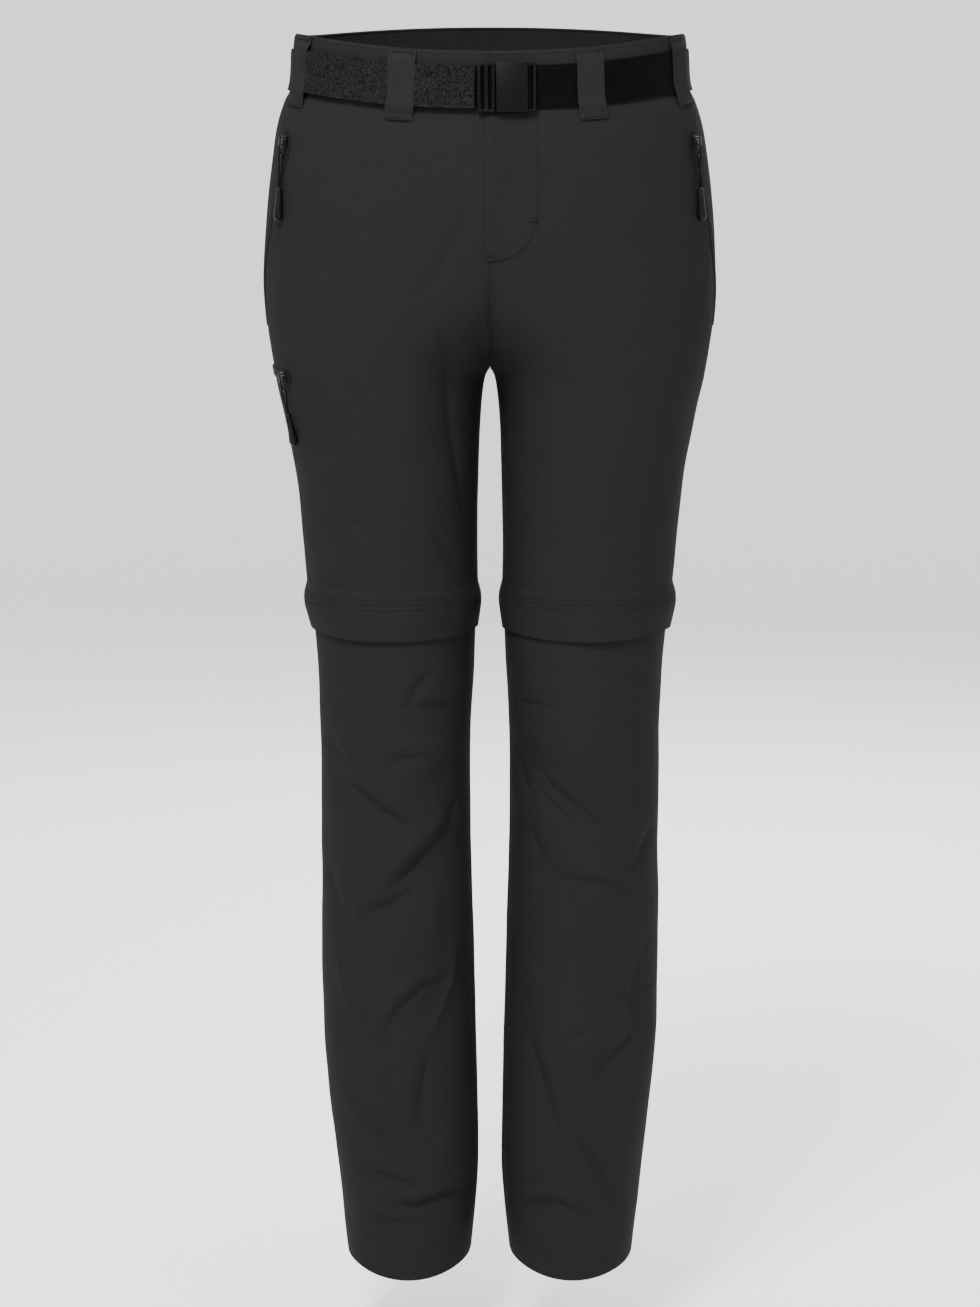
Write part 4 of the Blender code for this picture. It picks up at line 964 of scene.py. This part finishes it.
class TrousersBeltLoops(bpy.types.Operator):
    """Sew on the seven belt loops, folded strips that bridge the belt"""
    bl_idname = "trousers.belt_loops"
    bl_label = "Belt loops"

    def execute(self, context):
        cloth = materials()["trousers loop cloth"]
        for loop in BELT_LOOPS:
            over = (TAIL_OUT if loop.doubled else STRAP_OUT) + WEBBING + 0.4
            middle = float(waist_angles(loop.x, loop.face))
            row = waist_surface(np.array([middle - 0.05, middle + 0.05]), [BELT_LEVEL], 0.0)[0][0]
            half = LOOP_WIDTH / 2 * 0.1 / np.linalg.norm(row[1] - row[0])
            angle = np.linspace(middle - half, middle + half, 25)
            heights = [(LOOP_TOP, 0.95), (LOOP_TOP - 5, 1.0), (BELT_TOP + 1.0, over),
                       (BELT_BOTTOM - 1.0, over), (LOOP_BOTTOM + 5.0, 0.8), (LOOP_BOTTOM, 0.5)]
            z = np.linspace(LOOP_TOP, LOOP_BOTTOM, 59)
            out = np.interp(-z, [-level for level, _ in heights], [value for _, value in heights])
            across = (angle - middle) / half * LOOP_WIDTH / 2
            rounded = -0.5 * bell(LOOP_WIDTH / 2 - np.abs(across), 0.8)
            stitched = -0.3 * bell(LOOP_WIDTH / 2 - 3.5 - np.abs(across), 0.9)
            grid, _ = waist_surface(angle, z, out[:, None] + LOOP_CLOTH + (rounded + stitched)[None, :])
            node = f"belt_loop_{loop.name}"
            sew_on(f"cloth_{node}", node, grid, cloth, LOOP_CLOTH - 0.1, flip=True)
        return {"FINISHED"}


def copies_along(name, lines, material, size, spacing):
    """One small rounded body is modelled and copied along lines of (points, normals) in millimetres."""
    deselect()
    bpy.ops.mesh.primitive_ico_sphere_add(subdivisions=1, radius=0.5)
    pattern = bpy.context.object
    vertices = np.array([vertex.co[:] for vertex in pattern.data.vertices])
    faces = [tuple(polygon.vertices) for polygon in pattern.data.polygons]
    bpy.ops.object.delete()
    placed, joined = [], []
    for points, normals in lines:
        steps = step_lengths(points, 0)
        passed = np.concatenate(([0.0], np.cumsum(steps)))
        count = max(1, int(passed[-1] / spacing))
        for centre in (np.arange(count) + 0.5) * passed[-1] / count:
            i = min(np.searchsorted(passed, centre, side="right") - 1, len(steps) - 1)
            share = (centre - passed[i]) / max(steps[i], 1e-9)
            point = points[i] + (points[i + 1] - points[i]) * share
            normal = unit(normals[i] + (normals[i + 1] - normals[i]) * share)
            along = unit(points[i + 1] - points[i])
            along = unit(along - normal * np.dot(along, normal))
            over = np.cross(normal, along)
            turn = np.array((along, over, normal))
            joined += [tuple(index + len(placed) * len(vertices) for index in face) for face in faces]
            placed.append(vertices * size @ turn + point)
    mesh = bpy.data.meshes.new(name)
    mesh.from_pydata((np.concatenate(placed) * MM).tolist(), [], joined)
    mesh.materials.append(material)
    item = bpy.data.objects.new(name, mesh)
    bpy.context.collection.objects.link(item)
    activate(item)
    bpy.ops.object.mode_set(mode="EDIT")
    bpy.ops.mesh.select_all(action="SELECT")
    bpy.ops.mesh.normals_make_consistent(inside=False)
    bpy.ops.object.mode_set(mode="OBJECT")
    bpy.ops.object.shade_smooth()
    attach(item, "root")
    return item


STITCH = (2.3, 0.55, 0.4)
BAR_STITCH = (0.5, 2.6, 0.5)
TOOTH = (0.75, 3.0, 0.7)


def waist_line(x_values, face, z, out):
    """A line round the waist at one level, as points and normals."""
    points, normals = waist_surface(waist_angles(x_values, face), np.array([z]), np.array(out))
    return points[0], normals[0]


def waist_drop(x, face, z_values, out):
    """A line down the waist at one place in X."""
    points, normals = waist_surface(waist_angles(np.array([x]), face), np.asarray(z_values), np.array(out))
    return points[:, 0], normals[:, 0]


class TrousersStitching(bpy.types.Operator):
    """Sew the rows of stitches and the bartacks"""
    bl_idname = "trousers.stitching"
    bl_label = "Stitching"

    def execute(self, context):
        # The stitches' thread carries painted shade, half the cloth's tone, for the dips it sits in.
        thread = materials()["sewing thread"]
        z = np.linspace(FLY_TOP - 8, FLY_FOOT + 3.0, 90)
        fly_rows = [front_surface(fly_reach(z + 3.0) - 3.5, z, 0.75)]
        z = np.linspace(-162.0, -236.0, 50)
        fly_rows.append(front_surface(np.full_like(z, 3.2), z, 0.15))
        fly = copies_along("stitches_fly", fly_rows, thread, STITCH, STITCH_SPACING)
        bars = [front_surface(np.linspace(-2.0, 6.0, 9), np.full(9, FLY_FOOT + 5.0), 1.9),
                front_surface(np.linspace(32.0, 41.0, 9), np.full(9, -120.0), 1.1)]
        for loop in BELT_LOOPS:
            around = np.linspace(loop.x - 9.5, loop.x + 9.5, 12)
            ends, _ = waist_line([loop.x - 1, loop.x + 1], loop.face, BELT_LEVEL, 0.0)
            step = np.linalg.norm(ends[1] - ends[0]) / 2
            around = loop.x + (around - loop.x) / step
            for level, lift in ((LOOP_TOP - 2.5, 2.45), (LOOP_BOTTOM + 2.2, 2.15)):
                bars.append(waist_line(around, loop.face, level, lift))
        for leg in ("left", "right"):
            angle = np.radians(22.5) + np.linspace(-0.03, 0.03, 5)
            bars.append(surface(UPPER, leg, angle, np.full(5, -50.5), 0.5))
        # The bartacks' thread carries a painted highlight, a tone a little lighter than the cloth.
        highlighted_bar_thread = materials()["bartack thread"]
        bartacks = copies_along("stitches_bartacks", bars, highlighted_bar_thread, BAR_STITCH, BAR_SPACING)
        around = np.linspace(0.0, 2 * math.pi, 240)
        knee_rows = []
        for leg in ("left", "right"):
            for level in FLAP_STITCHES:
                points, normals = surface(FLAP, leg, around, np.full(240, level), -0.25)
                points[:, 2] += flap_level(around, level) - level
                knee_rows.append((points, normals))
        knees = copies_along("stitches_knees", knee_rows, thread, STITCH, STITCH_SPACING)
        front = np.linspace(-158.0, 158.0, 160)
        waist_rows = [waist_line(front, "front", WAIST_TOP - 3.2, 0.62)]
        across_belt = np.linspace(BELT_TOP - 1.5, BELT_BOTTOM + 1.5, 20)
        waist_rows.append(waist_drop(54.0, "front", across_belt, STRAP_OUT + WEBBING + 0.1))
        waist = copies_along("stitches_waist", waist_rows, thread, STITCH, STITCH_SPACING)
        return {"FINISHED"}


class TrousersPocketWelts(bpy.types.Operator):
    """Lay the cloth welts of the hand pockets over the side seams"""
    bl_idname = "trousers.pocket_welts"
    bl_label = "Pocket welts"

    def execute(self, context):
        cloth = materials()["trousers zip tape"]
        z = np.linspace(-53.0, -216.0, 83)
        across = np.linspace(-5.2, 5.2, 15)
        out = 0.5 + 0.35 * (1 - (across / 5.2) ** 2) - 0.6 * bell(across, 0.9)
        for leg in ("left", "right"):
            angle = np.radians(curve(SEAM_ANGLES, "side", z))
            ahead = surface(UPPER, leg, angle + 0.02, z)[0]
            behind = surface(UPPER, leg, angle - 0.02, z)[0]
            turn = across[None, :] * (0.04 / np.linalg.norm(ahead - behind, axis=-1))[:, None]
            level = np.broadcast_to(z[:, None], turn.shape)
            lift = np.broadcast_to(out[None, :], turn.shape)
            grid, _ = surface(UPPER, leg, angle[:, None] + turn, level, lift)
            sew_on(f"cloth_pocket_welt_{leg}", f"pocket_zip_{leg}", grid, cloth, WELT_SHELL,
                   slot="zip_tape", flip=leg == "left")
        return {"FINISHED"}


class TrousersZipTeeth(bpy.types.Operator):
    """Lay the teeth along the hand-pocket zips"""
    bl_idname = "trousers.zip_teeth"
    bl_label = "Zip teeth"

    def execute(self, context):
        plastic = materials()["trousers zip tape"]
        lines = []
        z = np.linspace(-71.0, -214.0, 80)
        for leg in ("left", "right"):
            lines.append(surface(UPPER, leg, np.radians(curve(SEAM_ANGLES, "side", z)), z, 0.35))
        teeth = copies_along("zip_teeth", lines, plastic, TOOTH, TOOTH_SPACING)
        return {"FINISHED"}


NODE_FINISHES = {
    "knee_zip": "trousers zip tape", "pocket_zip": "trousers zip tape", "thigh_zip": "trousers zip tape",
    "buckle": "buckle plastic", "slider": "painted zip metal", "link": "painted zip metal",
    "pull_cord": "pull braid", "toggle": "pull rubber",
}


SoftEdge = namedtuple("SoftEdge", "width slot")
SOFT_EDGES = {
    "buckle": SoftEdge(0.35, "buckle"),
    "slider": SoftEdge(0.2, "zip_metal"),
    "toggle": SoftEdge(0.45, "toggle"),
}


def soften_edges(node, item, edge):
    """A copy of a hard piece with its sharp edges rounded off, in the place of the plain one."""
    copy = bpy.data.objects.new(f"soft_{node}", item.data.copy())
    bpy.context.collection.objects.link(copy)
    activate(copy)
    bpy.ops.object.mode_set(mode="EDIT")
    bpy.ops.mesh.select_all(action="SELECT")
    bpy.ops.mesh.remove_doubles(threshold=0.00001)
    bpy.ops.mesh.dissolve_limited(angle_limit=math.radians(2))
    bpy.ops.object.mode_set(mode="OBJECT")
    bevel = copy.modifiers.new("soft edges", "BEVEL")
    bevel.width = edge.width * MM
    bevel.segments = 2
    bevel.angle_limit = math.radians(30)
    apply_modifiers(copy)
    bpy.ops.object.shade_smooth_by_angle(angle=math.radians(50))
    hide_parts(node)
    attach(copy, node.replace("toggle", "pull") if node.startswith("toggle") else "root")


class TrousersHardware(bpy.types.Operator):
    """Give the buckle, zips and pulls their finishes"""
    bl_idname = "trousers.hardware"
    bl_label = "Buckle, zips and pulls"

    def execute(self, context):
        found = materials()
        for name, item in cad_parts.items():
            for start, finish in NODE_FINISHES.items():
                if name.startswith(start):
                    item.data.materials.clear()
                    item.data.materials.append(found[finish])
            for start, edge in SOFT_EDGES.items():
                if name.startswith(start):
                    soften_edges(name, item, edge)
        return {"FINISHED"}


FLOOR_LEVEL = -1.115
STAGE_RADIUS = 5.0
STAGE_CURVE = 2.0


def add_area_light(name, place, target, size, power):
    light = bpy.data.lights.new(name, "AREA")
    light.shape = "SQUARE"
    light.size = size
    light.energy = power
    item = bpy.data.objects.new(name, light)
    item.location = place
    item.rotation_euler = (Vector(target) - Vector(place)).to_track_quat("-Z", "Y").to_euler()
    bpy.context.collection.objects.link(item)


STAGE_SIDES = 96
STAGE_STEPS = 12
STAGE_WALL = 3.0
SKY_STRENGTH = 1.3

# Places in metres, the level each light aims at, its size in metres and its power in watts
Light = namedtuple("Light", "name place aim size power")
LIGHTS = (
    Light("key", (-0.7, -1.9, 1.9), -0.6, 0.8, 150.0),
    Light("fill", (2.4, -1.0, 0.5), -0.5, 1.6, 10.0),
    Light("side", (-2.4, -0.4, 0.5), -0.5, 1.6, 4.0),
    Light("back", (0.6, 2.4, 1.6), -0.5, 1.6, 120.0),
)


def add_stage_circle(name):
    bpy.ops.mesh.primitive_circle_add(vertices=STAGE_SIDES, radius=STAGE_RADIUS, fill_type="NGON",
                                      location=(0.0, 0.0, FLOOR_LEVEL))
    circle = bpy.context.object
    circle.name = name
    return circle


class TrousersStage(bpy.types.Operator):
    """Set the camera, the soft lights and a pale floor"""
    bl_idname = "trousers.stage"
    bl_label = "Stage"

    def execute(self, context):
        camera = bpy.data.cameras.new("camera")
        camera.sensor_fit = "VERTICAL"
        camera.angle = 2 * math.atan(VIEW_MIDDLE[1] / VIEW_FOCAL)
        camera.clip_end = 60.0
        item = bpy.data.objects.new("camera", camera)
        item.location = (0.0, -CAMERA_BACK * MM, CAMERA_LEVEL * MM)
        item.rotation_euler = (math.pi / 2 - VIEW_TILT, 0.0, 0.0)
        context.collection.objects.link(item)
        context.scene.camera = item

        deselect()
        floor = add_stage_circle("stage_floor")
        bpy.ops.object.mode_set(mode="EDIT")
        bpy.ops.mesh.select_all(action="SELECT")
        radius = STAGE_RADIUS
        for step in range(1, STAGE_STEPS + 1):
            turn = math.pi / 2 * step / STAGE_STEPS
            before = math.pi / 2 * (step - 1) / STAGE_STEPS
            wider = STAGE_RADIUS + STAGE_CURVE * math.sin(turn)
            rise = STAGE_CURVE * (math.cos(before) - math.cos(turn))
            bpy.ops.mesh.extrude_region_move(TRANSFORM_OT_translate={"value": (0.0, 0.0, rise)})
            bpy.ops.transform.resize(value=(wider / radius, wider / radius, 1.0))
            radius = wider
        bpy.ops.mesh.extrude_region_move(TRANSFORM_OT_translate={"value": (0.0, 0.0, STAGE_WALL)})
        bpy.ops.mesh.delete(type="ONLY_FACE")
        bpy.ops.object.mode_set(mode="OBJECT")
        middle = add_stage_circle("stage_middle")
        deselect()
        for item in (floor, middle):
            item.select_set(True)
        context.view_layer.objects.active = floor
        bpy.ops.object.join()
        merge_points(0.0001)
        bpy.ops.object.shade_smooth()
        floor.data.materials.append(new_material("stage pale", (0.95, 0.95, 0.95), 0.9, 0.0)[0])

        world = bpy.data.worlds.new("world")
        world.use_nodes = True
        background = world.node_tree.nodes["Background"]
        background.inputs["Color"].default_value = (1.0, 1.0, 1.0, 1.0)
        background.inputs["Strength"].default_value = SKY_STRENGTH
        context.scene.world = world
        share = context.scene.trousers.light_strength
        for light in LIGHTS:
            add_area_light(light.name, light.place, (0.0, 0.0, light.aim), light.size, light.power * share)
        return {"FINISHED"}


class TrousersPanel(bpy.types.Panel):
    bl_label = "Trousers"
    bl_idname = "VIEW3D_PT_trousers"
    bl_space_type = "VIEW_3D"
    bl_region_type = "UI"
    bl_category = "Trousers"

    def draw(self, context):
        settings = context.scene.trousers
        for field in ("cloth_colour", "belt_colour", "light_strength"):
            self.layout.prop(settings, field)
        for operator in OPERATORS:
            self.layout.operator(operator.bl_idname)


OPERATORS = (TrousersStage, TrousersPanels, TrousersWaistband, TrousersKneeFlaps, TrousersFly, TrousersBelt,
             TrousersBeltLoops, TrousersPocketWelts, TrousersStitching, TrousersZipTeeth, TrousersHardware)
CLASSES = (TrousersSettings, *OPERATORS, TrousersPanel)


def register():
    for cls in CLASSES:
        bpy.utils.register_class(cls)
    bpy.types.Scene.trousers = bpy.props.PointerProperty(type=TrousersSettings)


def unregister():
    del bpy.types.Scene.trousers
    for cls in reversed(CLASSES):
        bpy.utils.unregister_class(cls)


def main():
    register()
    bpy.ops.trousers.stage()
    bpy.ops.trousers.panels()
    bpy.ops.trousers.waistband()
    bpy.ops.trousers.knee_flaps()
    bpy.ops.trousers.fly()
    bpy.ops.trousers.belt()
    bpy.ops.trousers.belt_loops()
    bpy.ops.trousers.pocket_welts()
    bpy.ops.trousers.stitching()
    bpy.ops.trousers.zip_teeth()
    bpy.ops.trousers.hardware()


if __name__ == "__main__":
    main()
